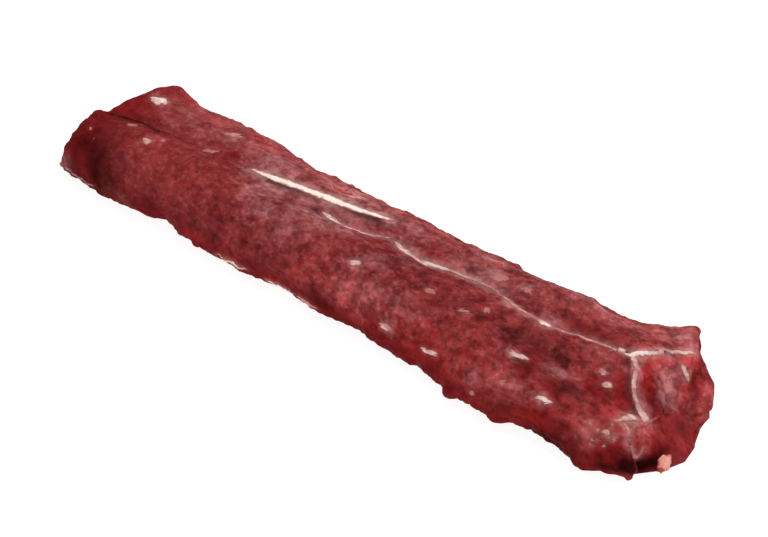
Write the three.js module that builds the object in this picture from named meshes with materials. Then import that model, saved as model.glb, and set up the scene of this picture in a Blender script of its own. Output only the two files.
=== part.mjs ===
// A raw, boneless beef striploin, trimmed of its fat cap, lying on its flat underside.
// It is one long slab of meat. The eye muscle makes the near two thirds of it and the narrower chain muscle
// lies along its far side. The seam between them opens into a groove at the rounded rib end.
// The other end is a slanting cut: its face leans back, its foot is ragged and undercut, and a low lobe
// runs out beside it, with a gully between the lobe and the crest of the meat.
// Sizes are in millimetres. +X runs from the rib end to the cut, +Y to the chain side, and +Z is up.
// The origin is the centre of the bounding box's underside.

import * as THREE from "three";

// The section, which changes along the length: each list holds [station, size] pairs.
const NEAR_EDGE = [
  [-290, -52.5], [-240, -56], [-178, -53], [-100, -58.5], [0, -58],
  [80, -62.5], [130, -68], [190, -70], [225, -69.5], [255, -61.5],
];
const FAR_EDGE = [
  [-290, 66], [-280, 54], [-252, 56.5], [-212, 62], [-160, 61], [-90, 54],
  [0, 54.5], [100, 54], [180, 55.5], [225, 59.5], [255, 67],
];
const CREST_HEIGHT = [
  [-290, 47.75], [-255, 51.5], [-200, 53.5], [-60, 54.5],
  [100, 55.25], [180, 53.75], [255, 47.5],
];
const CREST_Y = [[-290, -20], [120, -18], [200, -8], [255, 4]];
const SEAM_Y = [
  [-290, -4], [-250, -4], [-216, -1], [-165, -2], [-130, -6], [-100, -11], [-78, -13],
  [-55, -10], [-30, -9], [-10, -7], [10, -3], [30, -5], [50, -8], [75, -3],
  [105, 1], [150, -3], [176, -4], [195, 0], [220, 3], [255, 6],
];

// How boxy the section's upper quarters are, as superellipse exponents
const NEAR_ROUNDNESS = [[-290, 2.1], [60, 2.1], [150, 1.8], [215, 1.3], [255, 1.3]];
const FAR_ROUNDNESS = [[-290, 3.2], [-200, 2.5], [-100, 2.3], [150, 2.3], [210, 2.8], [255, 3.6]];
const WAIST_HEIGHT = 15; // where the flanks reach furthest out
const CORNER_RADIUS = 16; // from the flanks down to the flat underside

// Furrows along the top: how far each lies from the seam, its width, and its depth, along the length.
// A negative depth is a ridge.
const SEAM_VALLEY = {
  offset: [[0, 3]],
  width: 15,
  depth: [[-290, 5], [-230, 5.5], [-170, 5], [-100, 5], [0, 6], [150, 6], [215, 5], [255, 2.25]],
};
const SEAM_CREASE = {
  offset: [[0, 1.5]],
  width: 3.5,
  depth: [[-290, 3.5], [-215, 3.5], [-165, 0.5], [-95, 0.5], [-40, 2.5], [150, 3], [205, 2], [255, 1]],
};
const CHAIN_RIDGE = {
  offset: [[0, 34]],
  width: 20,
  depth: [[-290, -2.5], [-205, -1], [120, -1], [165, -3], [215, 3], [255, 0]],
};
const CHAIN_RIB_TIP = {
  offset: [[0, 44]],
  width: 11,
  depth: [[-290, -15.5], [-272, -9], [-256, 0], [-236, 1.5], [-200, 0]],
};
const LOBE_GULLY = {
  offset: [[90, -17], [150, -22], [200, -27], [255, -28]],
  width: 12,
  depth: [[60, 0], [110, 3], [170, 7], [215, 9], [255, 13]],
};
const CHAIN_END_DIP = { offset: [[0, 33.5]], width: 13, depth: [[190, 0], [255, 6]] };
const CHAIN_END_TIP = { offset: [[0, 50]], width: 12, depth: [[190, 0], [255, -5]] };
const FURROWS = [
  SEAM_VALLEY, SEAM_CREASE, CHAIN_RIDGE, CHAIN_RIB_TIP, LOBE_GULLY, CHAIN_END_DIP, CHAIN_END_TIP,
];
const FURROW_FADE = 14; // how far above the waist the furrows reach their full depth

// The rib end: rounded, leaning in, and cut back on the chain side
const RIB_END_X = -287.5;
const RIB_CAP_DEPTH = 12;
const RIB_CAP_ROUNDNESS = 3.2;
const RIB_SKEW_FROM_Y = -5;
const RIB_SKEW = 0.08; // times the distance across to the power RIB_SKEW_POWER
const RIB_SKEW_POWER = 1.5;
const RIB_LEAN = 0.2; // how far it leans in, per mm of height
const RIB_BLEND = 150; // how far along the meat the end's form fades out

// The cut end: where the foot of the face is and how far it leans back per mm of height, as [y, size] pairs
const CUT_STATION = 255;
const CUT_FOOT = [
  [-70, 225], [-58, 255], [-46, 261], [-30, 269], [-12, 271],
  [8, 266], [31, 257], [47, 249], [66, 223],
];
const CUT_LEAN = [
  [-64, -0.35], [-50, 0.25], [-30, 0.8], [4, 1.15], [20, 1],
  [32, 0.5], [46, 0.33], [58, 0.2], [66, 0],
];
const CUT_BLEND = 190;
const CUT_RIM_RADIUS = 3;
const CUT_RIM_ROUNDNESS = 9;

// Ragged lumps on the foot of the cut face. A negative reach is a hollow.
const FACE_LUMPS = [
  { y: 52, z: 14, reach: 6, radius: 7 },
  { y: 38, z: 9, reach: 3.5, radius: 7 },
  { y: 24, z: 8, reach: -2, radius: 7 },
  { y: -24, z: 3, reach: -4, radius: 9 },
  { y: -46, z: 1, reach: -7, radius: 8 },
  { y: -34, z: 17, reach: 5, radius: 10 },
  { y: -57, z: 13, reach: 6.5, radius: 8 },
];

// Where the foot of the near flank stands out, or is drawn in where the reach is negative
const FLANK_RAGS = [
  { x: -174, reach: -5, length: 9 },
  { x: -57, reach: -4, length: 20 },
  { x: 20, reach: -3, length: 13.5 },
  { x: 80, reach: -4, length: 7 },
  { x: 116, reach: 7, length: 4 },
  { x: 156, reach: 5, length: 4.5 },
  { x: 177.5, reach: -7, length: 17.5 },
  { x: 200, reach: -3, length: 11.5 },
  { x: 227.5, reach: 6, length: 9 },
];
const RAG_FADE_ACROSS = [6, 22]; // from the near edge inwards
const RAG_FADE_UP = [10, 27]; // from the table upwards

// The swell of the meat under the hand: waves along, across and up the skin, as wavelengths over a full turn
const BROAD_SWELL = { height: 0.9, length: 21, breadth: 15, lengthStart: 1.3, breadthStart: 0.4 };
const RIPPLE = { height: 0.7, length: 11.5, rise: 17, bend: 0.8, bendBreadth: 12 };
const FINE_SWELL = { height: 0.45, length: 6.3, slant: 7.1, start: 2, breadth: 5.7, rise: 6 };
const TABLE_FADE = [1, 9]; // the skin is left plain this low down, so that the underside stays flat

// Facets
const ARC_SEGMENTS = { nearTop: 17, toSeam: 9, chainTop: 15, farCorner: 5, underside: 7, nearCorner: 6 };
const RIB_CAP_RINGS = 8;
const BODY_RINGS = 72;
const CUT_CAP_RINGS = 14;
const CAP_MIDDLE = 0.42; // how high up the section the end caps close

const MEAT_COLOR = 0x8b3a3c;

const smooth = ([from, to], v) => THREE.MathUtils.smoothstep(v, from, to);
const bell = (distance, width) => Math.exp(-((distance / width) ** 2));

// A smooth curve through [x, size] pairs: a cubic between each two, whose slopes point from one
// neighbour to the next. It stays level beyond its ends.
function along(pairs, x) {
  const last = pairs.length - 1;
  if (x <= pairs[0][0]) return pairs[0][1];
  if (x >= pairs[last][0]) return pairs[last][1];
  const slope = (n) => {
    const [a, b] = [pairs[Math.max(n - 1, 0)], pairs[Math.min(n + 1, last)]];
    return (b[1] - a[1]) / (b[0] - a[0]);
  };
  const i = pairs.findIndex((pair, n) => n < last && x < pairs[n + 1][0]);
  const [[x0, v0], [x1, v1]] = [pairs[i], pairs[i + 1]];
  const w = x1 - x0;
  const q = (x - x0) / w;
  const rising = v0 * (1 + 2 * q) * (1 - q) ** 2 + slope(i) * w * q * (1 - q) ** 2;
  const falling = v1 * q * q * (3 - 2 * q) + slope(i + 1) * w * q * q * (q - 1);
  return rising + falling;
}

// The sizes of the section at a station.
function sectionAt(station) {
  return {
    near: along(NEAR_EDGE, station),
    far: along(FAR_EDGE, station),
    height: along(CREST_HEIGHT, station),
    crest: along(CREST_Y, station),
    seam: along(SEAM_Y, station),
    nearRoundness: along(NEAR_ROUNDNESS, station),
    farRoundness: along(FAR_ROUNDNESS, station),
  };
}

// The outline of a section as [y, z] points: over the top from the near flank to the far one, round the
// far corner, back along the flat underside and round the near corner. One point is always on the seam.
function outline(s) {
  const half = Math.PI / 2;
  const points = [];
  const arc = (segments, place) => {
    for (let i = 0; i < segments; i++) points.push(place(i / segments));
  };
  const upperQuarter = (edge, roundness) => (angle) => [
    s.crest + (edge - s.crest) * Math.cos(angle) ** (2 / roundness),
    WAIST_HEIGHT + (s.height - WAIST_HEIGHT) * Math.sin(angle) ** (2 / roundness),
  ];
  const eyeSide = upperQuarter(s.near, s.nearRoundness);
  const chainSide = upperQuarter(s.far, s.farRoundness);
  const seamShare = Math.max((s.seam - s.crest) / (s.far - s.crest), 0);
  const seamAngle = Math.acos(seamShare ** (s.farRoundness / 2));
  arc(ARC_SEGMENTS.nearTop, (q) => eyeSide(q * half));
  arc(ARC_SEGMENTS.toSeam, (q) => chainSide(half + (seamAngle - half) * q));
  arc(ARC_SEGMENTS.chainTop, (q) => chainSide(seamAngle * (1 - q)));
  arc(ARC_SEGMENTS.farCorner, (q) => [
    s.far - CORNER_RADIUS * (1 - Math.cos(q * half)),
    WAIST_HEIGHT * (1 - Math.sin(q * half)),
  ]);
  const [underFar, underNear] = [s.far - CORNER_RADIUS, s.near + CORNER_RADIUS];
  arc(ARC_SEGMENTS.underside, (q) => [underFar + (underNear - underFar) * q, 0]);
  arc(ARC_SEGMENTS.nearCorner, (q) => [
    s.near + CORNER_RADIUS * (1 - Math.sin(q * half)),
    WAIST_HEIGHT * (1 - Math.cos(q * half)),
  ]);
  return points;
}

// How far the furrows sink the top at a place.
function furrowed(station, y) {
  const fromSeam = y - along(SEAM_Y, station);
  return FURROWS.reduce(
    (sum, f) => sum + along(f.depth, station) * bell(fromSeam - along(f.offset, station), f.width),
    0,
  );
}

// Where the rib end's tip is.
function ribEnd(y, z) {
  const skew = RIB_SKEW * Math.max(y - RIB_SKEW_FROM_Y, 0) ** RIB_SKEW_POWER;
  return RIB_END_X + skew + RIB_LEAN * z;
}

// Where the cut face is.
function cutFace(y, z) {
  const lumps = FACE_LUMPS.reduce(
    (sum, l) => sum + l.reach * bell(Math.hypot(y - l.y, z - l.z), l.radius),
    0,
  );
  return along(CUT_FOOT, y) - along(CUT_LEAN, y) * z + lumps;
}

// One ring of the skin as [x, y, z] points. scale shrinks the section to its middle, for the end caps.
function ring(station, scale, placeX) {
  const s = sectionAt(station);
  const middleY = (s.near + s.far) / 2;
  const middleZ = s.height * CAP_MIDDLE;
  return outline(s).map(([outlineY, outlineZ]) => {
    const onTop = smooth([WAIST_HEIGHT, WAIST_HEIGHT + FURROW_FADE], outlineZ);
    const sunkZ = outlineZ - onTop * furrowed(station, outlineY);
    const y = middleY + (outlineY - middleY) * scale;
    const z = middleZ + (sunkZ - middleZ) * scale;
    return [placeX(y, z), y, z];
  });
}

// How far from an end cap's tip plane its skin is, from 1 in the middle to 0 at the rim, or the reverse.
function capShare(scale, roundness) {
  return 1 - (1 - scale ** roundness) ** (1 / roundness);
}

function ribCap(station) {
  return Array.from({ length: RIB_CAP_RINGS }, (_, i) => {
    const scale = Math.sin((((i + 1) / RIB_CAP_RINGS) * Math.PI) / 2);
    const inward = RIB_CAP_DEPTH * capShare(scale, RIB_CAP_ROUNDNESS);
    return ring(station, scale, (y, z) => ribEnd(y, z) + inward);
  });
}

function body(ribStation) {
  const rim = CUT_STATION + CUT_RIM_RADIUS;
  return Array.from({ length: BODY_RINGS }, (_, i) => {
    const station = THREE.MathUtils.lerp(ribStation, CUT_STATION, (i + 1) / BODY_RINGS);
    const ribPull = 1 - smooth([ribStation, ribStation + RIB_BLEND], station);
    const cutPull = smooth([CUT_STATION - CUT_BLEND, CUT_STATION], station);
    return ring(
      station,
      1,
      (y, z) => station + ribPull * (ribEnd(y, z) - RIB_END_X) + cutPull * (cutFace(y, z) - rim),
    );
  });
}

function cutCap() {
  return Array.from({ length: CUT_CAP_RINGS }, (_, i) => {
    const scale = Math.cos((((i + 1) / (CUT_CAP_RINGS + 1)) * Math.PI) / 2);
    const back = CUT_RIM_RADIUS * capShare(scale, CUT_RIM_ROUNDNESS);
    return ring(CUT_STATION, scale, (y, z) => cutFace(y, z) - back);
  });
}

// Joins the rings and a tip at each end into one closed skin, facing out.
function closedSkin(rings) {
  const size = rings[0].length;
  const middleOf = (points) =>
    points.reduce((sum, p) => sum.map((v, i) => v + p[i] / points.length), [0, 0, 0]);
  const points = [middleOf(rings[0]), ...rings.flat(), middleOf(rings.at(-1))];
  const faces = [];
  const at = (r, i) => 1 + r * size + (i % size);
  for (let i = 0; i < size; i++) {
    faces.push(0, at(0, i), at(0, i + 1));
    faces.push(points.length - 1, at(rings.length - 1, i + 1), at(rings.length - 1, i));
  }
  for (let r = 0; r + 1 < rings.length; r++) {
    for (let i = 0; i < size; i++) {
      faces.push(at(r, i), at(r + 1, i), at(r + 1, i + 1));
      faces.push(at(r, i), at(r + 1, i + 1), at(r, i + 1));
    }
  }
  const skin = new THREE.BufferGeometry();
  skin.setAttribute("position", new THREE.Float32BufferAttribute(points.flat(), 3));
  skin.setIndex(faces);
  skin.computeVertexNormals();
  return skin;
}

// How far the swell lifts the skin at a place.
function swell(x, y, z) {
  const b = BROAD_SWELL;
  const r = RIPPLE;
  const f = FINE_SWELL;
  const broad = Math.sin(x / b.length + b.lengthStart) * Math.sin(y / b.breadth + b.breadthStart);
  const ripple = Math.sin(x / r.length + r.bend * Math.sin(y / r.bendBreadth) + z / r.rise);
  const fine = Math.sin(x / f.length - y / f.slant + f.start) * Math.sin(y / f.breadth + z / f.rise);
  return b.height * broad + r.height * ripple + f.height * fine;
}

// How far the foot of the near flank stands out at a place.
function flankRag(x, y, z) {
  const onFlank = 1 - smooth(RAG_FADE_ACROSS, y - along(NEAR_EDGE, x));
  const low = 1 - smooth(RAG_FADE_UP, z);
  return onFlank * low * FLANK_RAGS.reduce((sum, r) => sum + r.reach * bell(x - r.x, r.length), 0);
}

// Moves the skin by the swell and the rags. The flat underside stays flat.
function roughen(skin) {
  const { position, normal } = skin.attributes;
  for (let i = 0; i < position.count; i++) {
    const [x, y, z] = [position.getX(i), position.getY(i), position.getZ(i)];
    const clear = smooth(TABLE_FADE, z);
    const lift = swell(x, y, z) * clear;
    position.setXYZ(
      i,
      x + normal.getX(i) * lift,
      y + normal.getY(i) * lift - flankRag(x, y, z),
      z + normal.getZ(i) * lift * clear,
    );
  }
}

// Moves the origin to the centre of the bounding box's underside.
function settle(skin) {
  skin.computeBoundingBox();
  const middle = skin.boundingBox.getCenter(new THREE.Vector3());
  skin.translate(-middle.x, -middle.y, -skin.boundingBox.min.z);
  skin.computeVertexNormals();
}

function striploin() {
  const ribStation = RIB_END_X + RIB_CAP_DEPTH;
  const skin = closedSkin([...ribCap(ribStation), ...body(ribStation), ...cutCap()]);
  roughen(skin);
  settle(skin);
  const meat = new THREE.MeshStandardMaterial({ color: MEAT_COLOR, roughness: 0.45, metalness: 0 });
  const mesh = new THREE.Mesh(skin, meat);
  mesh.name = "striploin";
  return mesh;
}

const group = new THREE.Group();
group.add(striploin());

export default group;
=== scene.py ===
"""Studio picture of a raw beef striploin, trimmed of its fat cap.

The lean body is one closed skin of rings, worked out from the same named sizes as its solid, with the finer
relief of the meat on it. Silverskin, fat and shreds of meat lie on it as pieces of their own. Forms are in
millimetres until they become meshes, which are in metres, as the shared frame is.
"""

import logging
from dataclasses import dataclass, field, fields
from enum import Enum

import bpy
import numpy as np
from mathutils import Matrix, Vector
from mathutils.kdtree import KDTree


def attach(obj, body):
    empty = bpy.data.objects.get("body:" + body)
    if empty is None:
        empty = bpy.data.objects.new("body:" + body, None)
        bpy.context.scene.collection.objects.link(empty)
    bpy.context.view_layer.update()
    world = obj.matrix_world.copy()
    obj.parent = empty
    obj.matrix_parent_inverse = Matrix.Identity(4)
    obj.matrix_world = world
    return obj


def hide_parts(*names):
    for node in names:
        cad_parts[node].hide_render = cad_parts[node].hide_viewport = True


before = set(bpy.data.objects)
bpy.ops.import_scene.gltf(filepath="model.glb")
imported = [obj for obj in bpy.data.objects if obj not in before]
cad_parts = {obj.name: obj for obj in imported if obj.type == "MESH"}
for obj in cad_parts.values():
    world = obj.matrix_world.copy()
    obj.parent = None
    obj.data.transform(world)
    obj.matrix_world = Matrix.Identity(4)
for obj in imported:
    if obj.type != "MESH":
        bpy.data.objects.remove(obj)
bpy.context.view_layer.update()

LOG = logging.getLogger("striploin")
MM = 0.001
TINY = 1e-9
Band = tuple[float, float]
Pairs = tuple[Band, ...]
Point = tuple[float, float, float]
Colour = tuple[float, float, float, float]
Ramp = tuple[float, ...]
Socket = bpy.types.NodeSocket
Value = bpy.types.NodeSocket | float | tuple


def smooth(start: float, end: float, value: np.ndarray) -> np.ndarray:
    """Rises from 0 at start to 1 at end, level at both.

    Args:
        start: The value at which the rise begins.
        end: The value at which it ends.
        value: The places to read it at.

    Returns:
        t squared times (3 - 2 t), where t is the share of the way from start to end, held in 0 to 1.
    """
    t = np.clip((value - start) / (end - start), 0, 1)
    return t * t * (3 - 2 * t)


def bell(distance: np.ndarray, width: float | np.ndarray) -> np.ndarray:
    """Gives 1 at no distance, falling off as exp of minus (distance / width) squared.

    Args:
        distance: How far each place is from the bell's middle.
        width: The distance at which it is down to about a third.

    Returns:
        The bell's height at each place.
    """
    return np.exp(-((distance / width) ** 2))


@dataclass(frozen=True)
class Curve:
    """A smooth curve through (x, size) pairs, level beyond its ends."""

    pairs: Pairs

    def at(self, x: np.ndarray) -> np.ndarray:
        """Reads the curve.

        Between two pairs it is a cubic, whose slope at each pair points from one neighbour to the next.

        Args:
            x: The places to read it at.

        Returns:
            The size at each place.
        """
        knots, sizes = np.array(self.pairs, float).T
        last = len(knots) - 1
        if last == 0:
            return np.full(np.shape(x), sizes[0])
        x = np.clip(x, knots[0], knots[-1])
        i = np.clip(np.searchsorted(knots, x, side="right") - 1, 0, last - 1)
        before = np.maximum(np.arange(last + 1) - 1, 0)
        after = np.minimum(np.arange(last + 1) + 1, last)
        slopes = (sizes[after] - sizes[before]) / (knots[after] - knots[before])
        w = knots[i + 1] - knots[i]
        q = (x - knots[i]) / w
        rising = sizes[i] * (1 + 2 * q) * (1 - q) ** 2 + slopes[i] * w * q * (1 - q) ** 2
        falling = sizes[i + 1] * q * q * (3 - 2 * q) + slopes[i + 1] * w * q * q * (q - 1)
        return rising + falling


@dataclass(frozen=True)
class Grain:
    """Smooth random lumps, from a seeded lattice of heights.

    The lattice repeats after some cells. Each octave is shifted on it, and the gain makes up for the
    blending, which flattens the lumps.
    """

    seed: int
    size: Point
    octaves: int = 1
    cells: int = 64
    shift: float = 17.3
    gain: float = 1.6

    def at(self, points: np.ndarray) -> np.ndarray:
        """Reads the lumps.

        Each octave blends the heights of the eight lattice corners round a place by smoothed shares, at half
        the size and half the height of the one before.

        Args:
            points: Places in millimetres, with x, y and z in the last axis.

        Returns:
            Heights from about -1 to 1.
        """
        table = np.random.default_rng(self.seed).uniform(-1, 1, (self.cells,) * 3)
        total = np.zeros(points.shape[:-1])
        reach = 0.0
        for octave in range(self.octaves):
            place = points * 2**octave / np.array(self.size) + self.shift * (octave + 1)
            cell = np.floor(place).astype(int)
            share = place - cell
            share = share * share * (3 - 2 * share)
            for corner in np.ndindex(2, 2, 2):
                weight = np.prod(np.where(np.array(corner) == 1, share, 1 - share), axis=-1)
                at = (cell + corner) % self.cells
                total += weight * table[at[..., 0], at[..., 1], at[..., 2]] / 2**octave
            reach += 1 / 2**octave
        return self.gain * total / reach


@dataclass(frozen=True)
class Furrow:
    """A furrow along the top, or a ridge where its depth is negative."""

    offset: Pairs
    width: float
    depth: Pairs

    def depth_at(self, station: np.ndarray, from_seam: np.ndarray) -> np.ndarray:
        """Depth at a station times a bell of the distance from the furrow's line.

        Args:
            station: How far along the meat each place is.
            from_seam: How far each place is from the seam.

        Returns:
            How far the furrow sinks each place.
        """
        away = from_seam - Curve(self.offset).at(station)
        return Curve(self.depth).at(station) * bell(away, self.width)


@dataclass(frozen=True)
class Spot:
    """A bell-shaped place on the meat, longer one way than another. It takes away where it is below 0."""

    middle: Point
    reach: Point
    strength: float = 1.0

    def at(self, points: np.ndarray) -> np.ndarray:
        """Strength times a bell of the distance from the middle, measured in reaches.

        Args:
            points: Places in millimetres, with x, y and z in the last axis.

        Returns:
            How strong the spot is at each place.
        """
        away = (points - np.array(self.middle)) / np.array(self.reach)
        return self.strength * np.exp(-np.sum(away**2, axis=-1))


def spots(*rows: tuple[float, ...]) -> tuple[Spot, ...]:
    """Makes spots from short rows.

    Args:
        rows: For each spot the x, y and z of its middle, its reach along x and y, and its strength. It
            reaches as far up as along y, and at least 8 mm.

    Returns:
        The spots.
    """
    least_up = 8
    return tuple(Spot((x, y, z), (long, wide, max(wide, least_up)), strength)
                 for x, y, z, long, wide, strength in rows)


@dataclass(frozen=True)
class Trail:
    """A bell-shaped line on the meat, through some points."""

    path: tuple[Point, ...]
    width: float
    strength: float = 1.0

    def at(self, points: np.ndarray) -> np.ndarray:
        """Strength times a bell of the distance from the nearest of the line's straight parts.

        Args:
            points: Places in millimetres, with x, y and z in the last axis.

        Returns:
            How strong the line is at each place.
        """
        path = np.array(self.path, float)
        nearest = np.full(points.shape[:-1], np.inf)
        for start, end in zip(path[:-1], path[1:]):
            step = end - start
            share = np.clip((points - start) @ step / (step @ step), 0, 1)
            nearest = np.minimum(nearest, np.linalg.norm(points - start - share[..., None] * step, axis=-1))
        return self.strength * bell(nearest, self.width)


def added(marks: tuple[Spot | Trail, ...], points: np.ndarray) -> np.ndarray:
    """The strengths of all marks at each place, added up."""
    return sum(mark.at(points) for mark in marks)


@dataclass(frozen=True)
class LoinForm:
    """The meat's form, from the sizes that its solid is made from, in millimetres.

    The form's own x runs from the rib end to the cut, y to the chain muscle's side, and z up. The fraying of
    its near foot is the picture's alone.
    """

    near_edge: Curve = Curve((
        (-290, -52.5), (-240, -56), (-178, -53), (-100, -58.5), (0, -58),
        (80, -62.5), (130, -68), (190, -70), (225, -69.5), (255, -61.5),
    ))
    far_edge: Curve = Curve((
        (-290, 66), (-280, 54), (-252, 56.5), (-212, 62), (-160, 61), (-90, 54),
        (0, 54.5), (100, 54), (180, 55.5), (225, 59.5), (255, 67),
    ))
    crest_height: Curve = Curve((
        (-290, 47.75), (-255, 51.5), (-200, 53.5), (-60, 54.5), (100, 55.25), (180, 53.75), (255, 47.5),
    ))
    crest_y: Curve = Curve(((-290, -20), (120, -18), (200, -8), (255, 4)))
    seam_y: Curve = Curve((
        (-290, -4), (-250, -4), (-216, -1), (-165, -2), (-130, -6), (-100, -11), (-78, -13),
        (-55, -10), (-30, -9), (-10, -7), (10, -3), (30, -5), (50, -8), (75, -3),
        (105, 1), (150, -3), (176, -4), (195, 0), (220, 3), (255, 6),
    ))
    near_roundness: Curve = Curve(((-290, 2.1), (60, 2.1), (150, 1.8), (215, 1.3), (255, 1.3)))
    far_roundness: Curve = Curve((
        (-290, 3.2), (-200, 2.5), (-100, 2.3), (150, 2.3), (210, 2.8), (255, 3.6),
    ))
    waist_height: float = 15
    corner_radius: float = 16
    furrows: tuple[Furrow, ...] = (
        Furrow(((0, 3),), 15, (
            (-290, 5), (-230, 5.5), (-170, 5), (-100, 5), (0, 6), (150, 6), (215, 5), (255, 2.25),
        )),
        Furrow(((0, 1.5),), 3.5, (
            (-290, 3.5), (-215, 3.5), (-165, 0.5), (-95, 0.5), (-40, 2.5), (150, 3), (205, 2), (255, 1),
        )),
        Furrow(((0, 34),), 20, ((-290, -2.5), (-205, -1), (120, -1), (165, -3), (215, 3), (255, 0))),
        Furrow(((0, 44),), 11, ((-290, -15.5), (-272, -9), (-256, 0), (-236, 1.5), (-200, 0))),
        Furrow(((90, -17), (150, -22), (200, -27), (255, -28)), 12, (
            (60, 0), (110, 3), (170, 7), (215, 9), (255, 13),
        )),
        Furrow(((0, 33.5),), 13, ((190, 0), (255, 6))),
        Furrow(((0, 50),), 12, ((190, 0), (255, -5))),
    )
    furrow_fade: float = 14
    rib_end_x: float = -287.5
    rib_cap_depth: float = 12
    rib_cap_roundness: float = 3.2
    rib_skew_from_y: float = -5
    rib_skew: float = 0.08
    rib_skew_power: float = 1.5
    rib_lean: float = 0.2
    rib_blend: float = 150
    cut_station: float = 255
    cut_foot: Curve = Curve((
        (-70, 225), (-58, 255), (-46, 261), (-30, 269), (-12, 271),
        (8, 266), (31, 257), (47, 249), (66, 223),
    ))
    cut_lean: Curve = Curve((
        (-64, -0.35), (-50, 0.25), (-30, 0.8), (4, 1.15), (20, 1),
        (32, 0.5), (46, 0.33), (58, 0.2), (66, 0),
    ))
    cut_blend: float = 190
    cut_rim_radius: float = 3
    cut_rim_roundness: float = 9
    face_lumps: tuple[tuple[float, float, float, float], ...] = (
        (52, 14, 6, 7), (38, 9, 3.5, 7), (24, 8, -2, 7), (-24, 3, -4, 9),
        (-46, 1, -7, 8), (-34, 17, 5, 10), (-57, 13, 6.5, 8),
    )
    rags: tuple[Point, ...] = (
        (-174, -5, 9), (-57, -4, 20), (20, -3, 13.5), (80, -4, 7), (116, 7, 4),
        (156, 5, 4.5), (177.5, -7, 17.5), (200, -3, 11.5), (227.5, 6, 9),
    )
    rag_inwards: Band = (6, 22)
    rag_up: Band = (10, 27)
    broad_height: float = 0.9
    ripple_height: float = 0.7
    fine_height: float = 0.45
    fray: Grain = Grain(21, (5, 9, 9), 2)
    fray_height: float = 0.9
    fray_inset: float = 0.8
    cap_middle: float = 0.42
    middle: Point = (-8.519, -2.032, 0)

    def outline(self, station: np.ndarray, arcs: tuple[int, ...]) -> tuple[np.ndarray, np.ndarray]:
        """Outlines of the sections at some stations.

        Two superellipse quarters meet on the crest, above the waist. Round corners of one radius lead down
        from the flanks to the flat underside.

        Args:
            station: One station for each row, as a column.
            arcs: How many points lie on the near top, up to the seam, on the chain's top, round the far
                corner, along the underside and round the near corner.

        Returns:
            The y and z of each outline, one row for each station.
        """
        near, far = self.near_edge.at(station), self.far_edge.at(station)
        crest, seam = self.crest_y.at(station), self.seam_y.at(station)
        rise = self.crest_height.at(station) - self.waist_height
        near_power = 2 / self.near_roundness.at(station)
        far_power = 2 / self.far_roundness.at(station)
        half = np.pi / 2
        seam_share = np.maximum((seam - crest) / (far - crest), 0)
        seam_angle = np.arccos(seam_share ** (1 / far_power))
        near_top, to_seam, chain_top, far_corner, under, near_corner = (
            np.arange(n)[None] / n for n in arcs
        )

        def quarter(edge: np.ndarray, angle: np.ndarray, power: np.ndarray) -> np.ndarray:
            """Crest plus reach times cos(angle) to the power, and rise times sin(angle) to the power."""
            out, up = (np.maximum(of(angle), 0) ** power for of in (np.cos, np.sin))
            return np.stack([crest + (edge - crest) * out, self.waist_height + rise * up])

        def corner(edge: np.ndarray, inward: float, angle: np.ndarray) -> np.ndarray:
            """A quarter turn from the flank, at angle 0, down to the underside."""
            y = edge + inward * self.corner_radius * (1 - np.cos(angle))
            return np.stack([y, self.waist_height * (1 - np.sin(angle)) + 0 * y])

        flat = (far - self.corner_radius) * (1 - under) + (near + self.corner_radius) * under
        y, z = np.concatenate([
            quarter(near, near_top * half, near_power),
            quarter(far, half + (seam_angle - half) * to_seam, far_power),
            quarter(far, seam_angle * (1 - chain_top), far_power),
            corner(far, -1, far_corner * half),
            np.stack([flat, 0 * flat]),
            corner(near, 1, (1 - near_corner) * half),
        ], axis=2)
        return y, z

    def furrowed(self, station: np.ndarray, y: np.ndarray) -> np.ndarray:
        """How far all the furrows together sink the top at each place."""
        from_seam = y - self.seam_y.at(station)
        return sum(f.depth_at(station, from_seam) for f in self.furrows)

    def rib_end(self, y: np.ndarray, z: np.ndarray) -> np.ndarray:
        """Where the rib end's tip is: its x, cut back on the chain side and leaning in with height."""
        back = np.maximum(y - self.rib_skew_from_y, 0) ** self.rib_skew_power
        return self.rib_end_x + self.rib_skew * back + self.rib_lean * z

    def cut_face(self, y: np.ndarray, z: np.ndarray) -> np.ndarray:
        """Where the cut face is: its foot, less its lean times the height, and the lumps on it."""
        lumps = sum(
            reach * bell(np.hypot(y - at_y, z - at_z), radius)
            for at_y, at_z, reach, radius in self.face_lumps
        )
        return self.cut_foot.at(y) - self.cut_lean.at(y) * z + lumps

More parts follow.
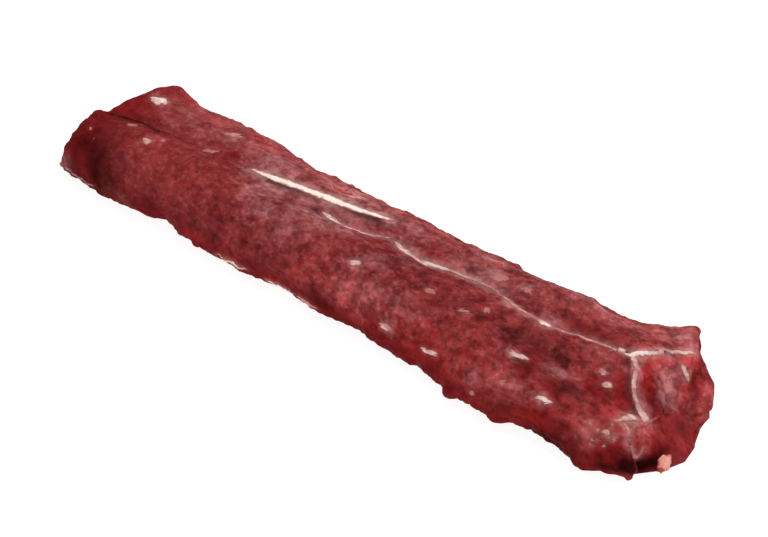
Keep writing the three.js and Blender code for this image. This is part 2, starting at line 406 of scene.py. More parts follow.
    def rings(self, arcs: tuple[int, ...], counts: tuple[int, int, int]) -> np.ndarray:
        """Rings of the whole skin, from the rib end's tip to the cut's middle.

        The body's rings are outlines whose tops the furrows sink. The end caps shrink the end outlines to
        their middles, by a sine at the rib end and a cosine at the cut, and lie a superellipse's depth back
        from the end's tip plane. The ends' forms fade out along the body.

        Args:
            arcs: How many points each part of an outline has.
            counts: How many rings the rib cap, the body and the cut cap have.

        Returns:
            Points in the form's own frame, as rings by points by x, y, z.
        """
        rib_rings, body_rings, cut_rings = counts
        rib_station = self.rib_end_x + self.rib_cap_depth
        rib_scale = np.sin(np.arange(1, rib_rings + 1) / rib_rings * np.pi / 2)
        cut_scale = np.cos(np.arange(1, cut_rings + 1) / (cut_rings + 1) * np.pi / 2)
        along = np.arange(1, body_rings + 1) / body_rings
        station = np.concatenate([
            np.full(rib_rings, rib_station),
            rib_station + (self.cut_station - rib_station) * along,
            np.full(cut_rings, self.cut_station),
        ])[:, None]
        scale = np.concatenate([rib_scale, np.ones(body_rings), cut_scale])[:, None]
        y, z = self.outline(station, arcs)
        on_top = smooth(self.waist_height, self.waist_height + self.furrow_fade, z)
        z = z - on_top * self.furrowed(station, y)
        middle_y = (self.near_edge.at(station) + self.far_edge.at(station)) / 2
        middle_z = self.crest_height.at(station) * self.cap_middle
        y = middle_y + (y - middle_y) * scale
        z = middle_z + (z - middle_z) * scale

        def back(share: np.ndarray, power: float) -> np.ndarray:
            """1 less the superellipse of the scale."""
            return 1 - (1 - share**power) ** (1 / power)

        rib_pull = 1 - smooth(rib_station, rib_station + self.rib_blend, station)
        cut_pull = smooth(self.cut_station - self.cut_blend, self.cut_station, station)
        rim = self.cut_station + self.cut_rim_radius
        rib_x, cut_x = self.rib_end(y, z), self.cut_face(y, z)
        x = station + rib_pull * (rib_x - self.rib_end_x) + cut_pull * (cut_x - rim)
        rib_depth = self.rib_cap_depth * back(rib_scale, self.rib_cap_roundness)[:, None]
        cut_depth = self.cut_rim_radius * back(cut_scale, self.cut_rim_roundness)[:, None]
        x[:rib_rings] = rib_x[:rib_rings] + rib_depth
        x[-cut_rings:] = cut_x[-cut_rings:] - cut_depth
        return np.stack([x, y, z], -1)

    def swell(self, points: np.ndarray) -> np.ndarray:
        """How far the skin swells: the sum of three waves along, across and up it.

        Args:
            points: The skin's points in the form's own frame.

        Returns:
            The swell in millimetres.
        """
        x, y, z = np.moveaxis(points, -1, 0)
        broad = np.sin(x / 21 + 1.3) * np.sin(y / 15 + 0.4)
        ripple = np.sin(x / 11.5 + 0.8 * np.sin(y / 12) + z / 17)
        fine = np.sin(x / 6.3 - y / 7.1 + 2) * np.sin(y / 5.7 + z / 6)
        return self.broad_height * broad + self.ripple_height * ripple + self.fine_height * fine

    def rag(self, points: np.ndarray) -> np.ndarray:
        """How far the foot of the near flank stands out: bells and seeded fraying along it.

        Both fade out towards the middle and upwards.

        Args:
            points: The skin's points in the form's own frame.

        Returns:
            The distance in millimetres, below 0 where the foot is drawn in.
        """
        x, y, z = np.moveaxis(points, -1, 0)
        on_flank = 1 - smooth(*self.rag_inwards, y - self.near_edge.at(x))
        low = 1 - smooth(*self.rag_up, z)
        frayed = self.fray_height * self.fray.at(points) - self.fray_inset
        return on_flank * low * sum((reach * bell(x - at, length) for at, reach, length in self.rags), frayed)


def ring_normals(rings: np.ndarray) -> np.ndarray:
    """Outward normals of a skin of closed rings.

    Each is the cross product of the step to the next ring and the step round the ring, taken between
    neighbours on both sides.

    Args:
        rings: Points as rings by points by x, y, z.

    Returns:
        Unit normals in the same order.
    """
    onward = np.gradient(rings, axis=0)
    around = np.roll(rings, -1, axis=1) - np.roll(rings, 1, axis=1)
    normals = np.cross(onward, around)
    return normals / (np.linalg.norm(normals, axis=-1, keepdims=True) + TINY)


def skin_faces(skins: int, count: int, size: int) -> tuple[np.ndarray, np.ndarray]:
    """Joins the rings of some skins, and closes each skin on a pole at either end.

    The points are the rings' points, then the first pole of each skin, then the last pole of each.

    Args:
        skins: How many skins there are.
        count: How many rings each has.
        size: How many points each ring has.

    Returns:
        Quads between the rings and triangles round the poles, as rows of point numbers.
    """
    base = (np.arange(skins) * count * size)[:, None, None]
    row = (np.arange(count - 1) * size)[None, :, None]
    here = np.arange(size)[None, None]
    onward = (here + 1) % size
    quads = np.stack([base + row + here, base + row + size + here,
                      base + row + size + onward, base + row + onward], -1).reshape(-1, 4)
    start_pole = np.arange(skins)[:, None] + skins * count * size
    here, onward, base = here[0], onward[0], base[:, 0]
    final = base + (count - 1) * size
    starts = np.stack([start_pole + 0 * here, base + here, base + onward], -1).reshape(-1, 3)
    ends = np.stack([start_pole + skins + 0 * here, final + onward, final + here], -1).reshape(-1, 3)
    return quads, np.concatenate([starts, ends])


def make_piece(name: str, rings: np.ndarray, tints: dict[str, np.ndarray], finish: bpy.types.Material
               ) -> bpy.types.Object:
    """Makes a piece of one or more closed skins.

    Each skin's first and last ring close on their own mean, and its faces are turned to point outwards.

    Args:
        name: The piece's name.
        rings: Points in millimetres, as skins by rings by points by x, y, z, or without the first of these.
        tints: Values for each ring point, by the name of the attribute that carries them.
        finish: The piece's material.

    Returns:
        The piece, smooth shaded, riding on the body.
    """
    rings = rings if rings.ndim == 4 else rings[None]
    rings = np.concatenate([rings[..., :2], np.maximum(rings[..., 2:], 0)], -1)
    skins, count, size = rings.shape[:3]
    first, last = rings[:, 0].mean(axis=1), rings[:, -1].mean(axis=1)
    points = np.concatenate([rings.reshape(-1, 3), first, last])
    quads, triangles = skin_faces(skins, count, size)
    a, b, c = (points[quads[:, k]] for k in (0, 1, 2))
    if np.einsum("ij,ij->", a - points.mean(0), np.cross(b - a, c - a)) < 0:
        quads, triangles = quads[:, ::-1], triangles[:, ::-1]
    mesh = bpy.data.meshes.new(name)
    mesh.from_pydata((points * MM).tolist(), [], quads.tolist() + triangles.tolist())
    mesh.polygons.foreach_set("use_smooth", np.ones(len(mesh.polygons), bool))
    for tint, values in tints.items():
        values = values.reshape(skins, count, size)
        poles = np.concatenate([values[:, 0].mean(axis=1), values[:, -1].mean(axis=1)])
        attribute = mesh.attributes.new(tint, "FLOAT", "POINT")
        attribute.data.foreach_set("value", np.concatenate([values.ravel(), poles]).astype(np.float32))
    mesh.materials.append(finish)
    mesh.update()
    piece = bpy.data.objects.new(name, mesh)
    bpy.context.scene.collection.objects.link(piece)
    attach(piece, "root")
    LOG.info("%s: %d faces", name, len(mesh.polygons))
    return piece


class Tree:
    """Builds the node tree of one finish, on Object coordinates in millimetres."""

    def __init__(self, name: str) -> None:
        """Starts a material with a lone shader.

        Args:
            name: The material's name.
        """
        self.material = bpy.data.materials.new(name)
        self.material.use_nodes = True
        self.nodes = self.material.node_tree.nodes
        self.links = self.material.node_tree.links
        self.shader = self.nodes["Principled BSDF"]
        self.place = self.nodes.new("ShaderNodeTexCoord").outputs["Object"]

    def put(self, socket: Socket, value: Value) -> None:
        """Gives a socket its value.

        Args:
            socket: The socket.
            value: Another node's output, which is linked, or a plain value, which is set.
        """
        if isinstance(value, Socket):
            self.links.new(value, socket)
        else:
            socket.default_value = value

    def node(self, kind: str, settings: dict[str, object], inputs: dict[str | int, Value], output: str | int
             ) -> Socket:
        """Makes a node.

        Args:
            kind: Its type.
            settings: Its own settings, by name.
            inputs: The values of its sockets, by name or number.
            output: The name or number of the socket that it is wanted for.

        Returns:
            That socket.
        """
        node = self.nodes.new("ShaderNode" + kind)
        for name, setting in settings.items():
            setattr(node, name, setting)
        for name, value in inputs.items():
            self.put(node.inputs[name], value)
        return node.outputs[output]

    def noise(self, size: float, stretch: Point = (1, 1, 1), detail: float = 2, turn: float = 0) -> Socket:
        """Random mottling.

        Args:
            size: The mottles' size in millimetres.
            stretch: How many times longer they are along x, y and z.
            detail: How many finer layers it has.
            turn: A shift that makes this mottling unlike another of its size.

        Returns:
            A value of about 0.3 to 0.7.
        """
        scale = tuple(1 / (size * MM * s) for s in stretch)
        shift = (turn, turn / 2, turn / 3)
        place = self.node("Mapping", {}, {"Vector": self.place, "Scale": scale, "Location": shift}, "Vector")
        return self.node(
            "TexNoise", {}, {"Vector": place, "Scale": 1, "Detail": detail, "Roughness": 0.55}, "Fac"
        )

    def ramp(self, value: Socket, low: float, high: float, top: float = 1, bottom: float = 0) -> Socket:
        """Smoothly maps low to bottom and high to top."""
        ends = {"From Min": low, "From Max": high, "To Min": bottom, "To Max": top}
        return self.node("MapRange", {"interpolation_type": "SMOOTHSTEP"}, {"Value": value, **ends}, "Result")

    def plus(self, a: Value, b: Value) -> Socket:
        """Two values added, held in 0 to 1."""
        return self.node("Math", {"operation": "ADD", "use_clamp": True}, {0: a, 1: b}, 0)

    def times(self, a: Value, b: Value) -> Socket:
        """The product of two values."""
        return self.node("Math", {"operation": "MULTIPLY"}, {0: a, 1: b}, 0)

    def power(self, a: Value, b: Value) -> Socket:
        """One value to the power of another."""
        return self.node("Math", {"operation": "POWER"}, {0: a, 1: b}, 0)

    def lighten(self, colour: Value, share: Value) -> Socket:
        """A colour times a share, which darkens it below 1."""
        return self.node("VectorMath", {"operation": "SCALE"}, {0: colour, "Scale": share}, "Vector")

    def tint(self, name: str) -> Socket:
        """The value of a mesh attribute."""
        return self.node("Attribute", {"attribute_name": name}, {}, "Fac")

    def blend(self, share: Value, a: Value, b: Value) -> Socket:
        """Blends colour a into colour b by a share."""
        return self.node("Mix", {"data_type": "RGBA"}, {"Factor": share, "A": a, "B": b}, "Result")

    def bump(self, height: Socket, depth: float, below: Socket | None = None) -> Socket:
        """Presses a height pattern into the surface.

        Args:
            height: The pattern, from 0 to 1.
            depth: Its full depth in millimetres.
            below: Another bump that this one lies on.

        Returns:
            The bumped normal.
        """
        inputs = {"Distance": depth * MM, "Height": height}
        if below is not None:
            inputs["Normal"] = below
        return self.node("Bump", {}, inputs, "Normal")

    def finish(self, colour: Value, roughness: Value, normal: Socket, gloss: float, softness: float,
               spread: Point = (1.0, 0.25, 0.15)) -> bpy.types.Material:
        """Joins everything to the shader.

        Args:
            colour: The base colour.
            roughness: The roughness.
            normal: The bumped normal.
            gloss: How strong the wet coat is.
            softness: The share of the light that goes into the meat and out again.
            spread: How far red, green and blue light spread inside, as shares of 2 mm.

        Returns:
            The finished material.
        """
        settings = {
            "Base Color": colour, "Roughness": roughness, "Normal": normal,
            "Specular IOR Level": 0.03, "IOR": 1.12,
            "Coat Weight": gloss, "Coat Roughness": 0.34, "Coat IOR": 1.38,
            "Subsurface Weight": softness, "Subsurface Scale": 2 * MM, "Subsurface Radius": spread,
        }
        for name, value in settings.items():
            self.put(self.shader.inputs[name], value)
        return self.material


@dataclass(frozen=True)
class LeanFinish:
    """Raw lean meat: dark red, with a pinkish tone and painted sheen in specks and patches, and lighter and
    darker in places by painted light and shade and by its own mottling.

    The sizes of its mottling are in millimetres. A ramp has the values that it starts and ends at, and what
    it gives at its end and at its start, which are 1 and 0 where they aren't said.
    """

    cloud_size: float = 9
    small_cloud_size: float = 7
    speck_size: float = 3.4
    hollow_size: float = 3.8
    fibre_size: float = 2.2
    speck_depth: float = 0.12
    hollow_depth: float = 0.2
    lean: Colour = (0.225, 0.0135, 0.0145, 1)
    # The pinkish colour of the meat, which also stands for painted sheen
    pink_and_painted_sheen: Colour = (0.40, 0.15, 0.15, 1)
    pale: Colour = (0.60, 0.31, 0.28, 1)
    cloud_share: float = 0.55
    small_cloud_share: float = 0.45
    # How clouds and specks break up the pinkness and painted sheen; the specks are painted glints
    pink_and_painted_sheen_by_cloud: Ramp = (0.3, 0.7, 1.5, 0.6)
    pink_and_painted_sheen_by_speck: Ramp = (0.48, 0.70, 0.28)
    specks_by_pink_and_painted_sheen: Ramp = (0, 0.15)
    light_by_mottle: Ramp = (0.34, 0.66, 1.38, 0.64)
    light_by_fibre: Ramp = (0.35, 0.65, 1.03, 0.96)
    light_by_hollow: Ramp = (0.30, 0.50, 1.04, 0.70)
    pale_by_speck: Ramp = (0.35, 0.65, 1.25, 0.75)
    pale_by_light: Ramp = (0.3, 0.8, 1, 0.15)
    roughness_by_cloud: Ramp = (0.35, 0.65, 0.52, 0.38)

    def make(self) -> bpy.types.Material:
        """Builds the material.

        The body's tint of pinkness and painted sheen, broken into clouds and into specks that are painted
        glints, blends the lean red into the pinkish sheen colour. The result is scaled by the light tint,
        which is painted light and shade, times the mottle, which clouds, fibres and hollows make, to the
        power of the grain tint.
        The pale tint, less where shade is painted, blends that into the colour that the meat has round fat
        and membranes.

        Returns:
            The material.
        """
        t = Tree("lean_meat")
        cloud = t.noise(self.cloud_size, stretch=(1.3, 1, 1), detail=3, turn=3.1)
        small_cloud = t.noise(self.small_cloud_size, stretch=(1.2, 1, 1), detail=3, turn=8.8)
        speck = t.noise(self.speck_size, stretch=(1.2, 1, 1), detail=1, turn=7.7)
        hollow = t.noise(self.hollow_size, stretch=(1.2, 1, 1), detail=1, turn=1.9)
        fibres = t.noise(self.fibre_size, stretch=(7, 1, 1), detail=1, turn=5.2)
        # Pinkness and painted sheen; the specks add painted glints
        pink_and_painted_sheen_tint = t.tint("pink_and_painted_sheen")
        pink_and_painted_sheen = t.times(pink_and_painted_sheen_tint, t.ramp(cloud, *self.pink_and_painted_sheen_by_cloud))
        pink_and_painted_sheen = t.plus(pink_and_painted_sheen, t.times(t.ramp(speck, *self.pink_and_painted_sheen_by_speck), t.ramp(pink_and_painted_sheen_tint, *self.specks_by_pink_and_painted_sheen)))
        mottle = t.plus(t.times(cloud, self.cloud_share), t.times(small_cloud, self.small_cloud_share))
        mottle = t.ramp(mottle, *self.light_by_mottle)
        mottle = t.times(mottle, t.ramp(fibres, *self.light_by_fibre))
        mottle = t.times(mottle, t.ramp(hollow, *self.light_by_hollow))
        # Painted light and shade from the light tint, times the meat's own mottling
        light = t.times(t.tint("light"), t.power(mottle, t.tint("grain")))
        colour = t.lighten(t.blend(pink_and_painted_sheen, self.lean, self.pink_and_painted_sheen), light)
        pale = t.times(t.tint("pale"), t.ramp(speck, *self.pale_by_speck))
        # Less pale where shade is painted
        pale = t.times(pale, t.ramp(t.tint("light"), *self.pale_by_light))
        colour = t.blend(pale, colour, self.pale)
        wet = t.ramp(cloud, *self.roughness_by_cloud)
        normal = t.bump(speck, self.speck_depth, t.bump(hollow, self.hollow_depth))
        return t.finish(colour, wet, normal, gloss=0.02, softness=0.08)


@dataclass(frozen=True)
class MembraneFinish:
    """Thin tough membrane: white where its tone is high, pink where low, running into the lean at its rim.

    Its sizes are in millimetres, and its ramps are written as the lean's are.
    """

    name: str
    white: Colour = (0.93, 0.79, 0.71, 1)
    pink: Colour = (0.44, 0.145, 0.13, 1)
    rim: Colour = (0.40, 0.12, 0.115, 1)
    mottle_size: float = 3
    fibre_size: float = 0.7
    fibre_depth: float = 0.05
    tone_by_mottle: Ramp = (0.3, 0.7, 0.12, -0.12)
    white_by_tone: Ramp = (0.12, 0.88)
    pink_by_fibre: Ramp = (0.5, 0.75, 0.15)
    edge_by_mottle: Ramp = (0.3, 0.7, -0.2, 0.2)
    rim_by_edge: Ramp = (0.18, 0.92)
    roughness_by_mottle: Ramp = (0.3, 0.7, 0.5, 0.36)

    def make(self) -> bpy.types.Material:
        """Builds the material: tone and rim tints, both broken up by mottles, and fine fibres along it.

        Returns:
            The material.
        """
        t = Tree(self.name)
        mottle = t.noise(self.mottle_size, stretch=(1.8, 1, 1), detail=3, turn=2.2)
        fibres = t.noise(self.fibre_size, stretch=(6, 1, 1), detail=2, turn=4.6)
        tone = t.plus(t.tint("tone"), t.ramp(mottle, *self.tone_by_mottle))
        colour = t.blend(t.ramp(tone, *self.white_by_tone), self.pink, self.white)
        colour = t.blend(t.ramp(fibres, *self.pink_by_fibre), colour, self.pink)
        edge = t.plus(t.tint("edge"), t.ramp(mottle, *self.edge_by_mottle))
        colour = t.blend(t.ramp(edge, *self.rim_by_edge), colour, self.rim)
        wet = t.ramp(mottle, *self.roughness_by_mottle)
        normal = t.bump(fibres, self.fibre_depth)
        return t.finish(colour, wet, normal, gloss=0.2, softness=0.2, spread=(1.0, 0.5, 0.4))


MEMBRANE = MembraneFinish("membrane")
FLECK_MEMBRANE = MembraneFinish("fleck_membrane")
EDGE_FAT = MembraneFinish(
    "edge_fat", white=(0.87, 0.62, 0.53, 1), pink=(0.58, 0.24, 0.19, 1), rim=(0.36, 0.06, 0.05, 1)
)
RAW_SHREDS = MembraneFinish(
    "raw_shreds", white=(0.66, 0.24, 0.18, 1), pink=(0.48, 0.06, 0.05, 1), rim=(0.32, 0.03, 0.03, 1)
)
CUT_FAT = MembraneFinish(
    "cut_fat", white=(0.90, 0.40, 0.33, 1), pink=(0.72, 0.20, 0.15, 1), rim=(0.50, 0.07, 0.05, 1)
)


@dataclass
class Skin:
    """The finished outer skin of the lean, which other pieces are laid on.

    Pieces make it pale in a halo round them, which is worked out as far as a margin beyond their path.
    """

    points: np.ndarray
    normals: np.ndarray
    tree: KDTree = field(init=False)
    pale: np.ndarray = field(init=False)
    halo: float = 1.5
    margin: float = 9
    least_pale: float = 0.15
    pale_by_tone: float = 0.5

    def __post_init__(self) -> None:
        """Sorts the points for finding the nearest one."""
        self.pale = np.zeros(len(self.points))
        self.tree = KDTree(len(self.points))
        for index, point in enumerate(self.points.tolist()):
            self.tree.insert(point, index)
        self.tree.balance()

    def lay(self, places: np.ndarray) -> tuple[np.ndarray, np.ndarray]:
        """Drops places onto the skin.

        Each goes to the plane that touches the skin at its nearest point.

        Args:
            places: Points near the skin in millimetres, with x, y, z in the last axis.

        Returns:
            The places on the skin, and the skin's outward normals there.
        """
        flat = places.reshape(-1, 3)
        nearest = np.array([self.tree.find(place)[1] for place in flat.tolist()])
        normal = self.normals[nearest]
        off = np.einsum("ij,ij->i", flat - self.points[nearest], normal)[:, None]
        return (flat - off * normal).reshape(places.shape), normal.reshape(places.shape)

    def soften(self, path: np.ndarray, share: float = 1) -> None:
        """Makes the lean paler round a strip or a fleck.

        The paleness is a bell of the distance to the path, as wide as half the strip and the halo. It is
        stronger where the tone is higher.

        Args:
            path: The x, y, z, width and tone of each place along it.
            share: The share of the full paleness.
        """
        low, high = path[:, :3].min(0) - self.margin, path[:, :3].max(0) + self.margin
        near = np.all((self.points > low) & (self.points < high), axis=1)
        points = self.points[near]
        for start, end in zip(path[:-1], path[1:]):
            step = (end - start)[:3]
            part = np.clip((points - start[:3]) @ step / (step @ step), 0, 1)
            off = np.linalg.norm(points - start[:3] - part[:, None] * step, axis=1)
            width, tone = (start[k] + part * (end[k] - start[k]) for k in (3, 4))
            strength = share * (self.least_pale + self.pale_by_tone * tone)
            pale = strength * bell(off, width / 2 + self.halo)
            self.pale[near] = np.maximum(self.pale[near], pale)

    def colour(self, piece: bpy.types.Object) -> None:
        """Gives a piece made of this skin its pale tint, with none at the two poles."""
        tint = piece.data.attributes.new("pale", "FLOAT", "POINT")
        tint.data.foreach_set("value", np.append(self.pale, (0, 0)).astype(np.float32))


LOBE_FURROW = (
    (250.6, 36.3, 27.7), (252.5, 35.4, 21.8), (254.9, 32.8, 16.2), (257.6, 29.7, 11.1), (260.3, 25.4, 6.6),
)
LOBE_BRANCH = ((258, 33.2, 15.1), (261.2, 34.4, 14.3), (263.4, 37, 13.1))
FACE_FURROW = ((251.7, 31.4, 23.3), (255.2, 26.5, 14.6), (260.8, 18.3, 9), (265.3, 6.6, 8.4))


@dataclass(frozen=True)
class Marks:
    """Marks on the lean: where it has pinkness and painted sheen, painted shade and painted light, and its
    small bumps and dents in millimetres.
    """

    # Pinkish tone and painted sheen, in spots and trails
    pink_and_painted_sheen: tuple[Spot | Trail, ...] = spots(
        # The rib end
        (-265, -52, 15, 7, 6, 0.6), (-260, -52, 17, 8, 5.9, 0.15), (-235, 24, 51, 7.7, 3.6, 0.7),
        (-231, -54, 18, 12, 8, -0.2), (-217, -54, 16, 8, 5.9, 0.15), (-205, 27, 49, 19, 8, 0.1),
        (-199, -52, 14, 8, 4.8, 0.15),
        # From the rib end to the middle
        (-155, 22, 51, 6, 4.5, 0.75), (-141, 7, 50, 7.7, 6.2, -0.2), (-111, 18, 52, 24, 11, 0.4),
        (-92, -15, 50, 14, 14, 0.45), (-74, -34, 52, 9, 6.2, 0.5),
        # The middle
        (-57, 15, 50, 10, 9, 0.14), (-55, -15, 51, 31, 18, 0.2), (-49, 31, 46, 34, 11, 0.4),
        (-48, -38, 49, 19, 11, 0.2), (-47, 0, 48, 21, 9, -0.13), (-28, -14, 51, 24, 11, 0.55),
        (17, -37, 49, 7.7, 3.6, 0.7), (17, 5, 48, 10, 7.1, -0.2), (17, 5, 48, 11, 7, -0.13),
        (24, 21, 50, 12, 9, 0.25), (30, -28, 52, 12, 6.2, 0.3), (33, -49, 38, 26, 12, 0.2),
        (45, 2, 48, 14, 7.5, -0.12), (48, -15, 52, 10, 8, 0.2), (55, 2, 49, 15, 7.1, -0.2),
        # From the middle to the cut end
        (61, -58, 19, 12, 14, -0.2), (63, -57, 28, 6, 4.5, 0.45), (66, -47, 46, 17, 8, 0.15),
        (76, 15, 50, 14, 7.1, 0.2), (80, 32, 47, 14, 4.5, 0.7), (96, 19, 48, 6.8, 4.5, 0.75),
        (103, -60, 23, 13, 10, -0.2), (125, 16, 51, 5.1, 4.5, 0.6), (145, -63, 30, 6, 5.4, 0.3),
        (162, -41, 44, 9, 4.5, 0.45), (165, 35, 49, 34, 5.4, 0.35), (169, -58, 33, 12, 9, 0.15),
        (169, -41, 43, 9, 9, -0.2), (178, 11, 46, 21, 11, -0.12), (186, -33, 40, 7.7, 4.5, 0.55),
        (194, -55, 33, 9, 4.5, 0.4), (196, -30, 38, 6.8, 3.6, 0.4), (196, -57, 31, 12, 16, -0.15),
        # The cut end
        (202, -4, 46, 15, 9, 0.12), (213, 12, 45, 17, 12, -0.12), (217, -24, 35, 8, 7, -0.2),
        (229, 49, 44, 19, 7.1, 0.3), (232, -22, 31, 9, 8, 0.12), (235, -13, 36, 11, 14, -0.1),
        (236, -56, 25, 7.7, 7.1, 0.25), (236, -13, 36, 10, 16, -0.15), (237, -13, 36, 7.7, 16, -0.12),
        (238, 21, 30, 5.1, 7.1, 0.4), (239, 22, 30, 12, 8, 0.15), (245, 28, 30, 6.8, 8, 0.3),
        (246, -50, 26, 4.3, 4.5, 0.55), (246, 14, 23, 9, 10, 0.25), (247, 12, 23, 6, 7.1, 0.65),
        (247, 29, 27, 15, 14, -0.15), (250, -31, 29, 9, 4.5, 0.5), (251, -55, 22, 9, 7, -0.3),
        (259, 35, 13, 9, 16, 0.15), (270, -28, 6, 9, 9, -0.2),
    ) + (
        # Pinkness and painted sheen beside the seam, and along the rims of the cut end
        Trail((
            (-114.2, 0.4, 48.9), (-87.6, 1.6, 50.3), (-65.2, 4.9, 50.7), (-49, 8.2, 49.3),
            (-25.1, 11.3, 50.7), (3.8, 16.9, 51.4),
        ), 7.8, 0.7),
        Trail((
            (-46.6, -3.9, 47.1), (-22.6, -6.1, 46.2), (0.2, -9.5, 50.6), (15.2, 2.9, 46.8),
        ), 5.2, 0.05),
        Trail((
            (17.9, 3, 46.3), (26.5, 0.6, 44.7), (46.1, -3.1, 45.6), (71, -0.6, 46.6), (94.8, 2.7, 44.4),
            (114.2, 3.7, 44.7),
        ), 7, 0.55),
        Trail(((124.7, -4, 49.7), (143.7, -4.3, 49.1), (160.1, -1.2, 46.3)), 5.2, 0.5),
        Trail((
            (160.1, -1.2, 46.3), (171.6, -0.8, 46.7), (188.7, 5.3, 43.6), (214.6, 10.1, 44.6),
        ), 4.3, 0.2),
        Trail(((216.5, 12, 44.5), (243.3, 43.1, 41.2)), 4.3, 0.45),
        Trail((
            (222, 9.1, 44), (233.7, -6.2, 40.6), (244.3, -15.2, 30.9), (254.6, -19.9, 26),
        ), 5.2, 0.45),
        Trail(((250.1, -33.4, 29.1), (259.4, -46.4, 24.7), (263.9, -45.2, 16.6)), 4.3, 0.3),
    )
    # Painted shade: darker in grooves, furrows, hollows, under the lobe and along the foot
    dark: tuple[Spot | Trail, ...] = spots(
        # The rib end
        (-254, -51, 24, 9, 20, 0.2), (-247, -42, 40, 12, 12, 0.3), (-227, -50, 35, 12, 23, 0.5),
        (-217, -54, 22, 12, 11, 0.4), (-206, -47, 38, 14, 23, 0.25),
        # From the rib end to the middle
        (-173, -49, 21, 14, 5.4, 0.35), (-141, 7, 50, 7.7, 6.2, 0.2), (-128, -53, 27, 22, 7.1, 0.2),
        (-105, -54, 25, 9, 9, 0.2), (-94, 2, 50, 17, 5.4, 0.35), (-94, -46, 44, 26, 18, 0.1),
        (-65, 1, 50, 26, 6.2, 0.1),
        # The middle
        (-54, -55, 25, 15, 8, 0.35), (-17, 8, 51, 19, 5.4, 0.45), (-3, -56, 22, 12, 8, 0.4),
        (11, -57, 15, 10, 7.1, 0.25), (36, -27, 53, 14, 11, 0.2), (49, -11, 51, 17, 12, 0.2),
        (51, -57, 15, 22, 7.1, 0.1),
        # From the middle to the cut end
        (66, -25, 55, 12, 9, 0.2), (91, 12, 47, 15, 11, 0.2), (100, -29, 53, 15, 4.5, 0.2),
        (123, -31, 52, 6.8, 4.5, 0.45), (145, -29, 48, 12, 7.1, 0.45), (164, -24, 44, 14, 8, 0.45),
        (170, -41, 42, 12, 6.2, 0.3), (171, -17, 47, 11, 12, 0.3), (182, 12, 45, 14, 3.6, 0.35),
        (184, -20, 42, 9, 6.2, 0.55),
        # The cut end
        (202, -58, 5, 19, 11, 0.45), (205, -40, 38, 12, 5.4, 0.4), (208, 13, 45, 17, 8, 0.2),
        (217, -24, 35, 8, 7, 0.12), (234, -68, 15, 21, 11, 0.3), (245, -3, 30, 6, 11, 0.25),
        (251, -55, 22, 9, 7, 0.12), (264, -42, 8, 13, 5.8, 0.65), (265, -56, 18, 9, 5.4, 0.5),
        (266, -55, 19, 6.8, 5.4, 0.35), (269, -30, 9, 10, 4, 0.4), (269, -22, 8, 6.8, 5.4, 0.35),
        (270, -19, 7, 6.8, 6.2, 0.25),
    ) + (
        Spot((250, 45, 25), (5, 5, 7), 0.85), Spot((268, -29, 5), (7, 8, 7), 0.45),
        # Painted shade along the groove, the seam and the sinew's edge, and in the furrows of the cut end
        Trail(((-259.5, -5.7, 44.1), (-226.8, -6.7, 48.3), (-203.9, -9.3, 51.1)), 4.6, 0.6),
        Trail((
            (-106.1, -0.8, 48.6), (-71.4, 2.1, 51.1), (-39.4, 9.3, 49.6), (-3.1, 10.9, 51.3),
        ), 2.6, 0.25),
        Trail(((-99.4, -1.6, 48.5), (-69.3, -0.2, 50.6), (-36.4, 6, 49.2), (1.5, 11, 50.8)), 2.1, 0.3),
        Trail(((-66.7, -17.3, 52.5), (-58.4, -7.8, 48.1), (-45.9, -4.6, 46.9)), 2.6, 0.35),
        Trail((
            (219.5, 3.6, 45), (225.5, -2.1, 43.9), (229.8, -8.5, 40), (234.4, -13.6, 35.5),
            (239.5, -17.3, 31.3), (246.2, -20.7, 27.8),
        ), 2.6, 0.55),
        Trail(LOBE_FURROW, 2.8, 0.65),
        Trail((
            (251.4, -61, 11.3), (260.9, -58.9, 13.2), (268.5, -56.5, 15.4), (265.1, -39.6, 6.4),
            (268.2, -34.4, 9.1),
        ), 4.8, 0.6),
        Trail(FACE_FURROW, 5.2, 0.3),
        Trail(((253.4, 3.9, 20.3), (247.8, 1.2, 25.6), (240.9, 2.4, 31.2)), 4.3, 0.2),
        Trail(((256.1, 38.1, 18.3), (254.8, 32.1, 18.6)), 2.6, 0.35),
        Trail(LOBE_BRANCH, 2.4, 0.5),
    )
